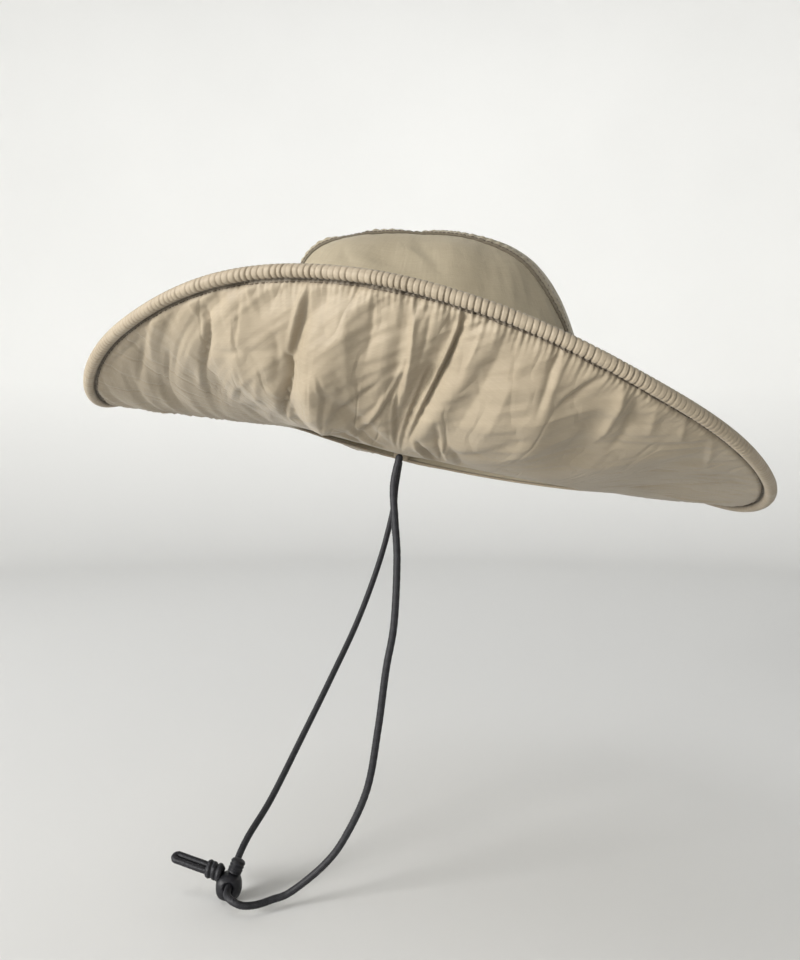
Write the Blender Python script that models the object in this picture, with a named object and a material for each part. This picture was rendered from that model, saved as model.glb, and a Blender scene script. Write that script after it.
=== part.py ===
"""Wide-brimmed rain hat of thin coated cloth, shaped as it is worn.

The crown has three panels with two raised seams, the brim is turned up at both sides and ends in a
gathered casing, and a round chin cord runs through a cord lock. Metres, +Z up, front at -X, the
hat's left side at -Y. The origin is the centre of the head opening, where the hat sits on a head.
"""

import math
from collections import namedtuple

import bmesh
import bpy
from mathutils import Matrix, Vector

# Head opening, measured at the outside of the crown cloth, how much higher its edge is at the front
# and back than at the sides, and how far the hat is worn tipped back
OPENING_LENGTH = 0.208
OPENING_WIDTH = 0.174
EDGE_RISE = 0.0045
WEAR_TILT = math.radians(12.5)

# Cloth walls and the space kept between neighbouring pieces
CROWN_WALL = 0.0012
BRIM_WALL = 0.0018
CLEARANCE = 0.0003
SEAT_GAP = 0.0004

# Crown: the top stands this far above the centre of the opening. A higher squareness makes the
# outline from wall to top boxier, and a higher fullness the outline seen from above, which is an
# oval of fullness 2 at the opening and fills out over the first share of the rise.
CROWN_TOP = 0.155
CROWN_HEART = CROWN_TOP / 3
FRONT_SQUARENESS = 6.0
SIDE_SQUARENESS = 3.1
BACK_SQUARENESS = 2.9
FRONT_FULLNESS = 4.4
BACK_FULLNESS = 2.4
FILLING_RISE = 0.35
FULLEST_SHARE = 0.995
STRIP_WIDTH = 0.092
SEAM_WIDTH = 0.0065
SEAM_HEIGHT = 0.0014
SEAM_LIFT = 0.0008
CROWN_COLUMNS = 60
CROWN_ROWS = 11
SEAM_STATIONS = 50
SEAM_TURN_WEIGHT = 0.02

# Brim: cloth from the crown to the outside of the rim, at the front
BRIM_WIDTH = 0.134
ROOT_TUCK = 0.0016
ROOT_LEDGE = 0.0006
BRIM_COLUMNS = 104
BRIM_ROWS = 8

# Rim casing: a tube of cloth drawn up into gathers round a hoop
CASING_RADIUS = 0.0037
GATHER_DEPTH = 0.0006
GATHERS = 88
CASING_SIDES = 6

# Chin cord, its tabs and the pieces on it
CORD_DIAMETER = 0.0046
CORD_EXIT_ANGLE = 104.3
TAB_WIDTH = 0.012
TAB_THICKNESS = 0.0030
TAB_HEIGHT = 0.012
LOCK_CENTRE = Vector((-0.1322, -0.0525, -0.2659))
LOCK_SIZE = Vector((0.0166, 0.0152, 0.0166))
BUTTON_AXIS = Vector((0.36, 0.16, 0.92)).normalized()
BUTTON_DIAMETER = 0.0088
BUTTON_LENGTH = 0.0085
KNOT_AXIS = Vector((-0.76, 0.14, 0.63)).normalized()
KNOT_SIZE = Vector((0.0112, 0.0106, 0.0106))
END_AXIS = Vector((-0.93, 0.24, 0.27)).normalized()
END_LENGTH = 0.0235
END_WIDTH = 0.0086

# Brim sections, the same on both sides. Angles go round from the back, over the wearer's left side,
# to the front. Width is a share of BRIM_WIDTH, and slopes are in degrees above the opening's plane.
BrimSection = namedtuple("BrimSection", "angle width root_slope rim_slope")
BRIM_SECTIONS = (
    BrimSection(angle=0, width=0.837, root_slope=9, rim_slope=4),
    BrimSection(angle=30, width=0.875, root_slope=21, rim_slope=5),
    BrimSection(angle=60, width=0.943, root_slope=7, rim_slope=39),
    BrimSection(angle=90, width=0.950, root_slope=15, rim_slope=56),
    BrimSection(angle=120, width=1.015, root_slope=-4, rim_slope=74),
    BrimSection(angle=150, width=0.962, root_slope=9, rim_slope=19),
    BrimSection(angle=180, width=1.008, root_slope=-7, rim_slope=-4),
)

# Folds of the brim on the wearer's left. Each runs from root_angle at the crown to rim_angle at the
# rim, over the shares start to end of the way. Half width and height are shares of BRIM_WIDTH, and
# a height above zero stands out on the under side.
BrimFold = namedtuple("BrimFold", "name root_angle rim_angle start end half_width height")
BRIM_FOLDS = (
    BrimFold("pull at the cord", 104, 100, -0.40, 0.55, 0.130, 0.006),
    BrimFold("deep crease", 138, 114, 0.05, 1.00, 0.050, -0.036),
    BrimFold("swell behind the crease", 130, 107, 0.10, 1.00, 0.075, 0.030),
    BrimFold("long fold groove", 106, 93, 0.05, 1.00, 0.045, -0.034),
    BrimFold("long fold ridge", 100, 87, 0.10, 1.00, 0.050, 0.028),
    BrimFold("middle groove", 106, 101, 0.25, 1.00, 0.040, -0.022),
    BrimFold("slanting crease", 104, 128, 0.00, 0.60, 0.045, -0.020),
    BrimFold("front hollow", 166, 131, 0.35, 1.00, 0.070, -0.020),
    BrimFold("front swell", 150, 126, 0.35, 1.00, 0.070, 0.018),
    BrimFold("tip hollow", 196, 148, 0.45, 1.00, 0.080, -0.014),
    BrimFold("rear groove", 58, 70, 0.15, 0.95, 0.080, -0.022),
    BrimFold("rear swell", 70, 79, 0.20, 1.00, 0.085, 0.022),
    BrimFold("rear tip hollow", 34, 48, 0.35, 1.00, 0.100, -0.018),
    BrimFold("back hollow", 8, 14, 0.20, 0.95, 0.120, 0.016),
)
FAR_FOLD_SHIFT = 7
FAR_FOLD_SHARE = 0.85

# Dents of the crown, and a swelling where the depth is below zero. Along and across are shares of
# half the opening's length and width, up is a share of CROWN_TOP, and radius and depth are shares of
# OPENING_WIDTH.
CrownDent = namedtuple("CrownDent", "name along across up radius depth")
CROWN_DENTS = (
    CrownDent("front seam dent", -0.54, -0.48, 1.00, 0.080, 0.036),
    CrownDent("shoulder before the dent", -0.60, -0.70, 0.88, 0.115, -0.014),
    CrownDent("second seam dent", -0.15, -0.49, 0.99, 0.052, 0.018),
    CrownDent("left front hollow", -0.36, -0.86, 0.74, 0.145, 0.020),
    CrownDent("left rear hollow", 0.48, -0.82, 0.66, 0.170, 0.022),
    CrownDent("top hollow", 0.05, 0.12, 1.00, 0.260, 0.012),
    CrownDent("front hollow", -0.94, -0.04, 0.76, 0.225, 0.049),
    CrownDent("right seam dent", -0.30, 0.52, 0.97, 0.080, 0.026),
    CrownDent("right hollow", 0.10, 0.95, 0.62, 0.180, 0.024),
    CrownDent("back hollow", 0.90, 0.06, 0.42, 0.160, 0.018),
)

# Route of the cord's left strand, down from its tab and along to the front of the lock
LEFT_ROUTE = (
    (-0.0283, -0.0812, -0.0135),
    (-0.0276, -0.0818, -0.0336),
    (-0.0263, -0.0818, -0.0579),
    (-0.0281, -0.0808, -0.0962),
    (-0.0329, -0.0790, -0.1240),
    (-0.0377, -0.0755, -0.1601),
    (-0.0446, -0.0705, -0.1985),
    (-0.0583, -0.0655, -0.2298),
    (-0.0717, -0.0630, -0.2482),
    (-0.0917, -0.0640, -0.2640),
    (-0.1030, -0.0690, -0.2688),
    (-0.1120, -0.0750, -0.2705),
    (-0.1205, -0.0790, -0.2700),
    (-0.1275, -0.0760, -0.2680),
    (-0.1303, -0.0680, -0.2655),
)
# Route of the right strand, from the top of the lock up to its tab
RIGHT_ROUTE = (
    (-0.1244, -0.0300, -0.2450),
    (-0.1120, -0.0100, -0.2271),
    (-0.0942, 0.0150, -0.1934),
    (-0.0760, 0.0350, -0.1577),
    (-0.0564, 0.0550, -0.1169),
    (-0.0401, 0.0700, -0.0728),
    (-0.0300, 0.0792, -0.0342),
    (-0.0278, 0.0808, -0.0160),
)

CLOTH_COLOUR = (0.42, 0.36, 0.26, 1.0)
SEAM_COLOUR = (0.38, 0.32, 0.23, 1.0)
BLACK = (0.012, 0.012, 0.013, 1.0)


def clear_scene():
    """Removes every object that the file starts with."""
    for item in list(bpy.data.objects):
        bpy.data.objects.remove(item, do_unlink=True)


def make_material(name, colour, roughness):
    """A plain Principled material with one colour and roughness."""
    material = bpy.data.materials.new(name)
    material.use_nodes = True
    shader = material.node_tree.nodes["Principled BSDF"]
    shader.inputs["Base Color"].default_value = colour
    shader.inputs["Roughness"].default_value = roughness
    shader.inputs["Metallic"].default_value = 0.0
    return material


def add_object(name, data, material, parent=None):
    """Puts one named piece in the scene with its own material."""
    item = bpy.data.objects.new(name, data)
    data.materials.append(material)
    bpy.context.scene.collection.objects.link(item)
    if parent is not None:
        item.parent = parent
    return item


def mesh_from(bm, name, sharp_angle=40):
    """Turns a bmesh into smooth mesh data with its faces pointing out."""
    bmesh.ops.recalc_face_normals(bm, faces=bm.faces)
    if bm.calc_volume(signed=True) < 0:
        bmesh.ops.reverse_faces(bm, faces=bm.faces)
    mesh = bpy.data.meshes.new(name)
    bm.to_mesh(mesh)
    bm.free()
    mesh.shade_smooth()
    mesh.set_sharp_from_angle(angle=math.radians(sharp_angle))
    return mesh


def bridge_rings(bm, rings, closed):
    """Joins rings of points, each closed on itself, and the last ring to the first if closed."""
    rows = [[bm.verts.new(point) for point in ring] for ring in rings]
    pairs = list(zip(rows, rows[1:]))
    if closed:
        pairs.append((rows[-1], rows[0]))
    for row, following in pairs:
        count = len(row)
        for i in range(count):
            j = (i + 1) % count
            bm.faces.new((row[i], row[j], following[j], following[i]))
    if not closed:
        bm.faces.new(rows[0])
        bm.faces.new(rows[-1])


def blend_four(before, start, end, after, share):
    """Smooth value between start and end, which also passes through before and after."""
    curve = 2 * before - 5 * start + 4 * end - after
    bend = 3 * (start - end) + after - before
    return start + 0.5 * share * (end - before + share * (curve + share * bend))


def section_value(column, angle):
    """One column of the brim's table at an angle in radians, mirrored on the other side."""
    last = len(BRIM_SECTIONS) - 1
    folded = abs((angle + math.pi) % (2 * math.pi) - math.pi)
    place = folded / math.pi * last
    row = min(int(place), last - 1)

    def value(index):
        mirrored = -index if index < 0 else 2 * last - index if index > last else index
        return getattr(BRIM_SECTIONS[mirrored], column)

    return blend_four(value(row - 1), value(row), value(row + 1), value(row + 2), place - row)


def opening_frame(angle):
    """Point on the opening's edge, before the hat is tipped, and the way straight out from it."""
    along = OPENING_LENGTH / 2 * math.cos(angle)
    across = -OPENING_WIDTH / 2 * math.sin(angle)
    outward = Vector((along / OPENING_LENGTH**2, across / OPENING_WIDTH**2, 0)).normalized()
    return Vector((along, across, EDGE_RISE * math.cos(angle) ** 2)), outward


def all_folds():
    """The folds of the left side, and the same ones a little shifted and softer on the right."""
    folds = list(BRIM_FOLDS)
    for fold in BRIM_FOLDS:
        mirrored = fold._replace(
            root_angle=360 - fold.root_angle + FAR_FOLD_SHIFT,
            rim_angle=360 - fold.rim_angle + FAR_FOLD_SHIFT,
            height=fold.height * FAR_FOLD_SHARE,
        )
        folds.append(mirrored)
    return folds


def fold_height(angle, share):
    """How far the folds push the brim's cloth towards its under side at a place."""
    reach = OPENING_LENGTH / 2 + share * BRIM_WIDTH
    total = 0.0
    for fold in all_folds():
        if not fold.start < share < fold.end:
            continue
        line = math.radians(fold.root_angle + (fold.rim_angle - fold.root_angle) * share)
        turn = (angle - line + math.pi) % (2 * math.pi) - math.pi
        away = turn * reach / (fold.half_width * BRIM_WIDTH)
        along = (share - fold.start) / (fold.end - fold.start)
        total += fold.height * BRIM_WIDTH * math.sin(math.pi * along) * math.exp(-away * away)
    return total


def brim_place(angle, share):
    """Middle of the brim's cloth, its upward normal and the way along it to the rim."""
    point, outward = opening_frame(angle)
    root = math.radians(section_value("root_slope", angle))
    rim = math.radians(section_value("rim_slope", angle))
    width = BRIM_WIDTH * section_value("width", angle) - 2 * CASING_RADIUS - CLEARANCE
    turn = rim - root
    if abs(turn) < 1e-4:
        turn = 1e-4
    slope = root + turn * share
    out = ROOT_LEDGE + width * (math.sin(slope) - math.sin(root)) / turn
    up = width * (math.cos(root) - math.cos(slope)) / turn + BRIM_WALL / 2
    along = outward * math.cos(slope) + Vector((0, 0, math.sin(slope)))
    normal = Vector((0, 0, math.cos(slope))) - outward * math.sin(slope)
    middle = point + outward * out + Vector((0, 0, up))
    return middle - normal * fold_height(angle, share), normal, along


def make_brim(material, parent):
    """The brim: two layers of cloth as one wall, with its folds, from the crown to the casing."""
    bm = bmesh.new()
    rings = []
    for column in range(BRIM_COLUMNS):
        angle = 2 * math.pi * column / BRIM_COLUMNS
        point, outward = opening_frame(angle)
        tucked = point - outward * ROOT_TUCK
        upper = [tucked + Vector((0, 0, BRIM_WALL))]
        under = [tucked]
        for row in range(BRIM_ROWS + 1):
            middle, normal, _ = brim_place(angle, row / BRIM_ROWS)
            upper.append(middle + normal * BRIM_WALL / 2)
            under.append(middle - normal * BRIM_WALL / 2)
        rings.append(upper + under[::-1])
    bridge_rings(bm, rings, closed=True)
    return add_object("brim", mesh_from(bm, "brim"), material, parent)


def make_casing(material, parent):
    """The gathered tube of cloth round the rim, with a ridge and a groove for each gather."""
    bm = bmesh.new()
    rings = []
    for station in range(2 * GATHERS):
        angle = math.pi * station / GATHERS
        middle, normal, along = brim_place(angle, 1.0)
        centre = middle + along * (CLEARANCE + CASING_RADIUS)
        radius = CASING_RADIUS - (GATHER_DEPTH if station % 2 else 0.0)
        ring = []
        for side in range(CASING_SIDES):
            turn = 2 * math.pi * (side + 0.5) / CASING_SIDES
            ring.append(centre + (along * math.cos(turn) + normal * math.sin(turn)) * radius)
        rings.append(ring)
    bridge_rings(bm, rings, closed=True)
    return add_object("brim_casing", mesh_from(bm, "brim_casing", 80), material, parent)


def squareness(angle):
    """How boxy the crown is in this direction."""
    lengthwise = math.cos(angle)
    end = FRONT_SQUARENESS if lengthwise < 0 else BACK_SQUARENESS
    return SIDE_SQUARENESS + (end - SIDE_SQUARENESS) * lengthwise * lengthwise


def crown_base(angle, inset):
    """Lower edge of the crown's wall, just above the brim on the tipped hat."""
    along = (OPENING_LENGTH / 2 - inset) * math.cos(angle)
    across = -(OPENING_WIDTH / 2 - inset) * math.sin(angle)
    height = EDGE_RISE * math.cos(angle) ** 2 + BRIM_WALL + CLEARANCE
    return Matrix.Rotation(WEAR_TILT, 3, "Y") @ Vector((along, across, height))


def filling(angle, across_share, rise):
    """How much further out lengthwise the crown reaches than an oval one, higher up its wall."""
    power = FRONT_FULLNESS if math.cos(angle) < 0 else BACK_FULLNESS
    share = min(FULLEST_SHARE, across_share)
    full = (1 - share**power) ** (1 / power) / math.sqrt(1 - share * share)
    return 1 + (full - 1) * min(1.0, rise / FILLING_RISE)


def crown_raise(angle, inward, inset):
    """Point of the smooth crown in a direction, from inward 1 at the wall to 0 at the top."""
    power = squareness(angle)
    rise = max(0.0, 1 - inward**power) ** (1 / power)
    base = crown_base(angle, inset)
    reach = base.x * inward * filling(angle, abs(math.sin(angle)) * inward, rise)
    top = CROWN_TOP - inset
    return Vector((reach, base.y * inward, base.z * (1 - rise) + top * rise))


def dented(point):
    """Moves a point of the crown inwards by its dents, keeping its place across the hat."""
    depth = 0.0
    for dent in CROWN_DENTS:
        centre = Vector(
            (
                dent.along * OPENING_LENGTH / 2,
                dent.across * OPENING_WIDTH / 2,
                dent.up * CROWN_TOP,
            )
        )
        away = (point - centre).length / (dent.radius * OPENING_WIDTH)
        depth += dent.depth * OPENING_WIDTH * math.exp(-away * away)
    fade = min(1.0, max(0.0, point.z / (CROWN_TOP / 4)))
    heart = Vector((0, point.y, CROWN_HEART))
    inwards = (heart - point).normalized()
    return point + inwards * depth * fade


def crown_layer(bm, inset):
    """One face of the crown as rings of points from the opening up to the top point."""
    rings = []
    for row in range(CROWN_ROWS):
        turn = math.pi / 2 * row / CROWN_ROWS
        ring = []
        for column in range(CROWN_COLUMNS):
            angle = 2 * math.pi * column / CROWN_COLUMNS
            inward = math.cos(turn) ** (2 / squareness(angle))
            ring.append(bm.verts.new(dented(crown_raise(angle, inward, inset))))
        rings.append(ring)
    top = bm.verts.new(dented(Vector((0, 0, CROWN_TOP - inset))))
    for lower, upper in zip(rings, rings[1:]):
        for i in range(CROWN_COLUMNS):
            j = (i + 1) % CROWN_COLUMNS
            bm.faces.new((lower[i], lower[j], upper[j], upper[i]))
    for i in range(CROWN_COLUMNS):
        bm.faces.new((rings[-1][i], rings[-1][(i + 1) % CROWN_COLUMNS], top))
    return rings[0]


def cut_away(bm, place, direction):
    """Cuts the cloth at a plane across the hat, drops what lies beyond and closes the edge."""
    cut = bmesh.ops.bisect_plane(
        bm,
        geom=bm.verts[:] + bm.edges[:] + bm.faces[:],
        dist=1e-6,
        plane_co=(0, place, 0),
        plane_no=(0, direction, 0),
        clear_outer=True,
    )
    rim = [item for item in cut["geom_cut"] if isinstance(item, bmesh.types.BMEdge)]
    filled = bmesh.ops.edgeloop_fill(bm, edges=rim)
    bmesh.ops.triangulate(bm, faces=filled["faces"])


def make_crown_panel(name, material, low, high):
    """One panel of the crown, between two planes across the hat, or to its side if one is None."""
    bm = bmesh.new()
    outer = crown_layer(bm, 0.0)
    inner = crown_layer(bm, CROWN_WALL)
    for i in range(CROWN_COLUMNS):
        j = (i + 1) % CROWN_COLUMNS
        bm.faces.new((outer[i], inner[i], inner[j], outer[j]))
    bmesh.ops.recalc_face_normals(bm, faces=bm.faces)
    if high is not None:
        cut_away(bm, high, 1)
    if low is not None:
        cut_away(bm, low, -1)
    return add_object(name, mesh_from(bm, name), material)


def seam_rail(across):
    """Points on the crown along a plane across the hat, evenly spread by length and turning."""
    widest = math.asin(min(1.0, abs(across) / (OPENING_WIDTH / 2)))
    dense = []
    steps = 600
    for step in range(steps + 1):
        share = 0.5 - 0.5 * math.cos(math.pi * step / steps)
        share = 0.5 - 0.5 * math.cos(math.pi * share)
        angle = math.pi - widest + (2 * widest - math.pi) * share
        inward = min(1.0, abs(across) / (OPENING_WIDTH / 2 * math.sin(angle)))
        point = crown_raise(angle, inward, 0.0)
        point.y = across
        dense.append(dented(point))
    measure = [0.0]
    for before, here, after in zip(dense, dense[1:], dense[2:] + dense[-1:]):
        step = here - before
        turn = step.angle(after - here, 0.0)
        measure.append(measure[-1] + step.length + SEAM_TURN_WEIGHT * turn)
    rail = []
    index = 0
    for station in range(SEAM_STATIONS):
        goal = measure[-1] * station / (SEAM_STATIONS - 1)
        while index < len(measure) - 2 and measure[index + 1] < goal:
            index += 1
        part = (goal - measure[index]) / (measure[index + 1] - measure[index])
        rail.append(dense[index].lerp(dense[index + 1], part))
    return rail


def make_crown_seam(name, material, side):
    """A felled seam: a low strip of cloth over the joint of two panels, from opening to opening."""
    middle = side * STRIP_WIDTH / 2
    rails = [seam_rail(middle - SEAM_WIDTH / 2), seam_rail(middle + SEAM_WIDTH / 2)]
    rings = []
    for station in range(SEAM_STATIONS):
        low = rails[0][station]
        high = rails[1][station]
        before = rails[0][max(station - 1, 0)]
        after = rails[0][min(station + 1, SEAM_STATIONS - 1)]
        normal = (after - before).cross(high - low).normalized()
        if normal.dot(low - Vector((0, low.y, CROWN_HEART))) < 0:
            normal = -normal
        lift = normal * SEAM_LIFT
        height = normal * (SEAM_LIFT + SEAM_HEIGHT)
        if station in (0, SEAM_STATIONS - 1):
            raised = Vector((0, 0, 4 * CLEARANCE))
            lift = lift + raised
            height = height + raised
        rings.append((low + lift, high + lift, high + height, low + height))
    bm = bmesh.new()
    bridge_rings(bm, rings, closed=False)
    return add_object(name, mesh_from(bm, name), material)


def tab_frame(side):
    """Where a cord tab sits inside the opening: its middle and the way out of the opening."""
    point, outward = opening_frame(math.radians(side * CORD_EXIT_ANGLE))
    inside = ROOT_TUCK + CLEARANCE + TAB_THICKNESS / 2 + CLEARANCE
    return point - outward * inside, outward


def make_cord_tab(name, material, parent, side):
    """A small folded tab inside the opening that holds one end of the cord."""
    middle, outward = tab_frame(side)
    bm = bmesh.new()
    bmesh.ops.create_cube(bm, size=1.0)
    bmesh.ops.scale(bm, vec=(TAB_THICKNESS, TAB_WIDTH, TAB_HEIGHT), verts=bm.verts)
    bmesh.ops.bevel(
        bm,
        geom=bm.edges[:],
        offset=TAB_THICKNESS / 6,
        segments=1,
        affect="EDGES",
    )
    item = add_object(name, mesh_from(bm, name), material, parent)
    item.location = middle + Vector((0, 0, TAB_HEIGHT / 2))
    item.rotation_euler = (0, 0, math.atan2(outward.y, outward.x))
    return item


def cord_start(side):
    """First point of a strand, just under its tab, on the tipped hat."""
    middle, _ = tab_frame(side)
    below = middle - Vector((0, 0, CLEARANCE + TAB_THICKNESS / 6))
    return Matrix.Rotation(WEAR_TILT, 3, "Y") @ below


def smooth_route(points, spacing):
    """Points at an even spacing on a smooth curve through the route's own points."""
    ends = [points[0] * 2 - points[1]] + points + [points[-1] * 2 - points[-2]]
    dense = []
    steps = 24
    for i in range(len(points) - 1):
        for step in range(steps):
            dense.append(blend_four(*ends[i : i + 4], step / steps))
    dense.append(points[-1])
    lengths = [0.0]
    for start, end in zip(dense, dense[1:]):
        lengths.append(lengths[-1] + (end - start).length)
    count = max(2, round(lengths[-1] / spacing))
    route = []
    index = 0
    for k in range(count + 1):
        goal = lengths[-1] * k / count
        while index < len(lengths) - 2 and lengths[index + 1] < goal:
            index += 1
        part = (goal - lengths[index]) / (lengths[index + 1] - lengths[index])
        route.append(dense[index].lerp(dense[index + 1], min(1.0, part)))
    return route


def make_cord(name, material, points):
    """One strand of the cord as a round tube with closed ends."""
    curve = bpy.data.curves.new(name, "CURVE")
    curve.dimensions = "3D"
    curve.bevel_depth = CORD_DIAMETER / 2
    curve.bevel_resolution = 2
    curve.use_fill_caps = True
    route = smooth_route(points, 2.5 * CORD_DIAMETER)
    spline = curve.splines.new("POLY")
    spline.points.add(len(route) - 1)
    for target, point in zip(spline.points, route):
        target.co = (*point, 1.0)
    return add_object(name, curve, material)


def turned_to(axis):
    """Rotation that takes +Z to a direction."""
    return Vector((0, 0, 1)).rotation_difference(axis).to_euler()


def make_pebble(name, material, centre, size, axis=None):
    """A rounded pebble of the given size, its long way turned to an axis."""
    bm = bmesh.new()
    bmesh.ops.create_uvsphere(bm, u_segments=14, v_segments=9, radius=0.5)
    bmesh.ops.scale(bm, vec=size, verts=bm.verts)
    item = add_object(name, mesh_from(bm, name, 60), material)
    item.location = centre
    if axis is not None:
        item.rotation_euler = turned_to(axis)
    return item


def surface_distance(direction, size):
    """Distance from a pebble's centre to its surface along a direction."""
    scaled = Vector((direction.x / size.x, direction.y / size.y, direction.z / size.z))
    return 0.5 / scaled.length


def make_bar(name, material, start, axis, length, width, depth, sides=12):
    """A straight bar with an oval section and slightly rounded ends."""
    bm = bmesh.new()
    rounding = depth * 0.28
    rings = []
    for height, share in ((0, 0.78), (rounding, 1.0), (length - rounding, 1.0), (length, 0.78)):
        ring = []
        for side in range(sides):
            turn = 2 * math.pi * side / sides
            across = width / 2 * share * math.cos(turn)
            through = depth / 2 * share * math.sin(turn)
            ring.append(Vector((across, through, height)))
        rings.append(ring)
    bridge_rings(bm, rings, closed=False)
    item = add_object(name, mesh_from(bm, name, 50), material)
    item.location = start
    item.rotation_euler = turned_to(axis)
    return item


def make_cord_pieces(cord_material, lock_material):
    """The lock with its button, the knot and the doubled end beyond it."""
    make_pebble("cord_lock_body", lock_material, LOCK_CENTRE, LOCK_SIZE)
    button_start = LOCK_CENTRE + BUTTON_AXIS * (
        surface_distance(BUTTON_AXIS, LOCK_SIZE) + SEAT_GAP
    )
    make_bar(
        "cord_lock_button",
        lock_material,
        button_start,
        BUTTON_AXIS,
        BUTTON_LENGTH,
        BUTTON_DIAMETER,
        BUTTON_DIAMETER,
    )
    knot_centre = LOCK_CENTRE + KNOT_AXIS * (
        surface_distance(KNOT_AXIS, LOCK_SIZE) + KNOT_SIZE.x / 2 + CLEARANCE
    )
    make_pebble("cord_knot", cord_material, knot_centre, KNOT_SIZE)
    end_start = knot_centre + END_AXIS * (surface_distance(END_AXIS, KNOT_SIZE) + SEAT_GAP)
    make_bar(
        "cord_end_loop",
        cord_material,
        end_start,
        END_AXIS,
        END_LENGTH,
        END_WIDTH,
        CORD_DIAMETER,
    )


def strand_end(towards):
    """Where a strand that comes from a point stops, just off the lock's surface."""
    direction = (Vector(towards) - LOCK_CENTRE).normalized()
    return LOCK_CENTRE + direction * (surface_distance(direction, LOCK_SIZE) + SEAT_GAP)


def main():
    """Builds the whole hat."""
    clear_scene()
    crown_cloth = make_material("crown_cloth", CLOTH_COLOUR, 0.62)
    brim_cloth = make_material("brim_cloth", CLOTH_COLOUR, 0.60)
    casing_cloth = make_material("casing_cloth", SEAM_COLOUR, 0.64)
    cord_braid = make_material("cord_braid", BLACK, 0.55)
    lock_plastic = make_material("lock_plastic", BLACK, 0.42)

    opening = bpy.data.objects.new("head_opening", None)
    opening.rotation_euler = (0, WEAR_TILT, 0)
    bpy.context.scene.collection.objects.link(opening)

    seam = STRIP_WIDTH / 2
    slit = CLEARANCE / 2
    make_crown_panel("crown_side_left", crown_cloth, None, -seam - slit)
    make_crown_panel("crown_centre", crown_cloth, -seam + slit, seam - slit)
    make_crown_panel("crown_side_right", crown_cloth, seam + slit, None)
    make_crown_seam("crown_seam_left", crown_cloth, -1)
    make_crown_seam("crown_seam_right", crown_cloth, 1)
    make_brim(brim_cloth, opening)
    make_casing(casing_cloth, opening)
    make_cord_tab("cord_tab_left", casing_cloth, opening, 1)
    make_cord_tab("cord_tab_right", casing_cloth, opening, -1)

    make_cord_pieces(cord_braid, lock_plastic)
    left = [cord_start(1)] + [Vector(point) for point in LEFT_ROUTE]
    left.append(strand_end(LEFT_ROUTE[-1]))
    right = [strand_end(RIGHT_ROUTE[0])] + [Vector(point) for point in RIGHT_ROUTE]
    right.append(cord_start(-1))
    make_cord("chin_cord_left", cord_braid, left)
    make_cord("chin_cord_right", cord_braid, right)


main()
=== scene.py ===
"""Looks of the rain hat: cloth, gathers, stitches, braided chin cord and cord lock.

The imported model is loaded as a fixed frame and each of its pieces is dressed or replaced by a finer
one of the same form. Metres, +Z up, front of the hat at -X, its left side at -Y, origin at the
centre of the head opening.
"""

import logging
import math
from dataclasses import dataclass
from enum import Enum, auto
from typing import NamedTuple, Sequence

import bmesh
import bpy
import numpy as np
from mathutils import Matrix, Vector


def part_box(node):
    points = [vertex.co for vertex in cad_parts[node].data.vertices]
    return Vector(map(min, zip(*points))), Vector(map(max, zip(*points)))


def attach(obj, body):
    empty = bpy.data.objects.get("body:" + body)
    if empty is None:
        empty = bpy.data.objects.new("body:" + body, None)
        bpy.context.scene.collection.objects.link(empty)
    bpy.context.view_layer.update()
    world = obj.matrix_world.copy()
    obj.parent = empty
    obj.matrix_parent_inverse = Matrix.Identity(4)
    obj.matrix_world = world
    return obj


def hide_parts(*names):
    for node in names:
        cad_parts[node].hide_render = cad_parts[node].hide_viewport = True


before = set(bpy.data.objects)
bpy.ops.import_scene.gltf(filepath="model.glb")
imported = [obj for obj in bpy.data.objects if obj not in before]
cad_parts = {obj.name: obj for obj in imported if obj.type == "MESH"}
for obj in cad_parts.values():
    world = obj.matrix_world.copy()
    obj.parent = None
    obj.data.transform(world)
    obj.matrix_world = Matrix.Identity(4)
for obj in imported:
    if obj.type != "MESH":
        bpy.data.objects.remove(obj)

Array = np.ndarray
Socket = bpy.types.NodeSocket
Triple = tuple[float, float, float]
Arrays = tuple[Array, Array, Array]

LOG = logging.getLogger("rain_hat")
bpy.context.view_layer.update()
BODY = "root"
MM = 0.001
TURN = 2 * math.pi
TURN_DEGREES = 360
CREASE_FADE = 0.7
STITCH_SIDES = 6
STITCH_POINTS = (0.0, 0.5, 1.0)
STITCH_PROFILE = ((0.0, 0.45), (0.22, 0.95), (0.5, 1.0), (0.78, 0.95), (1.0, 0.45))
GRID_NAME = "cloth_grid"
FAN_NAME = "fold_fan"
# Mesh value for painted shade in stitched grooves and along seams, and for the painted highlight on braid
# crests.
PAINTED_LIGHT_NAME = "painted_shade_and_highlight"


class Slot(Enum):
    """Names of the material slots."""

    CROWN = "crown_cloth"
    BRIM = "brim_cloth"
    CASING = "casing_cloth"
    BRAID = "cord_braid"
    PLASTIC = "lock_plastic"


class Side(Enum):
    """Side of the hat, as the wearer has it. The value is the sign of the opening angle."""

    LEFT = 1
    RIGHT = -1


class Maths(Enum):
    """What a math node does with its inputs."""

    ABSOLUTE = auto()
    ADD = auto()
    MAXIMUM = auto()
    MINIMUM = auto()
    MULTIPLY = auto()
    MULTIPLY_ADD = auto()
    SINE = auto()
    SUBTRACT = auto()


class Blend(Enum):
    """How one colour is laid over another."""

    MIX = auto()
    MULTIPLY = auto()


class BrimSection(NamedTuple):
    """One row of the brim's table: width as a share of the brim's, slopes in degrees."""

    angle: float
    width: float
    root_slope: float
    rim_slope: float


class Fold(NamedTuple):
    """A fold from root_angle at the crown to rim_angle at the rim, sizes in millimetres."""

    root_angle: float
    rim_angle: float
    start: float
    end: float
    half_width: float
    height: float


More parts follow.
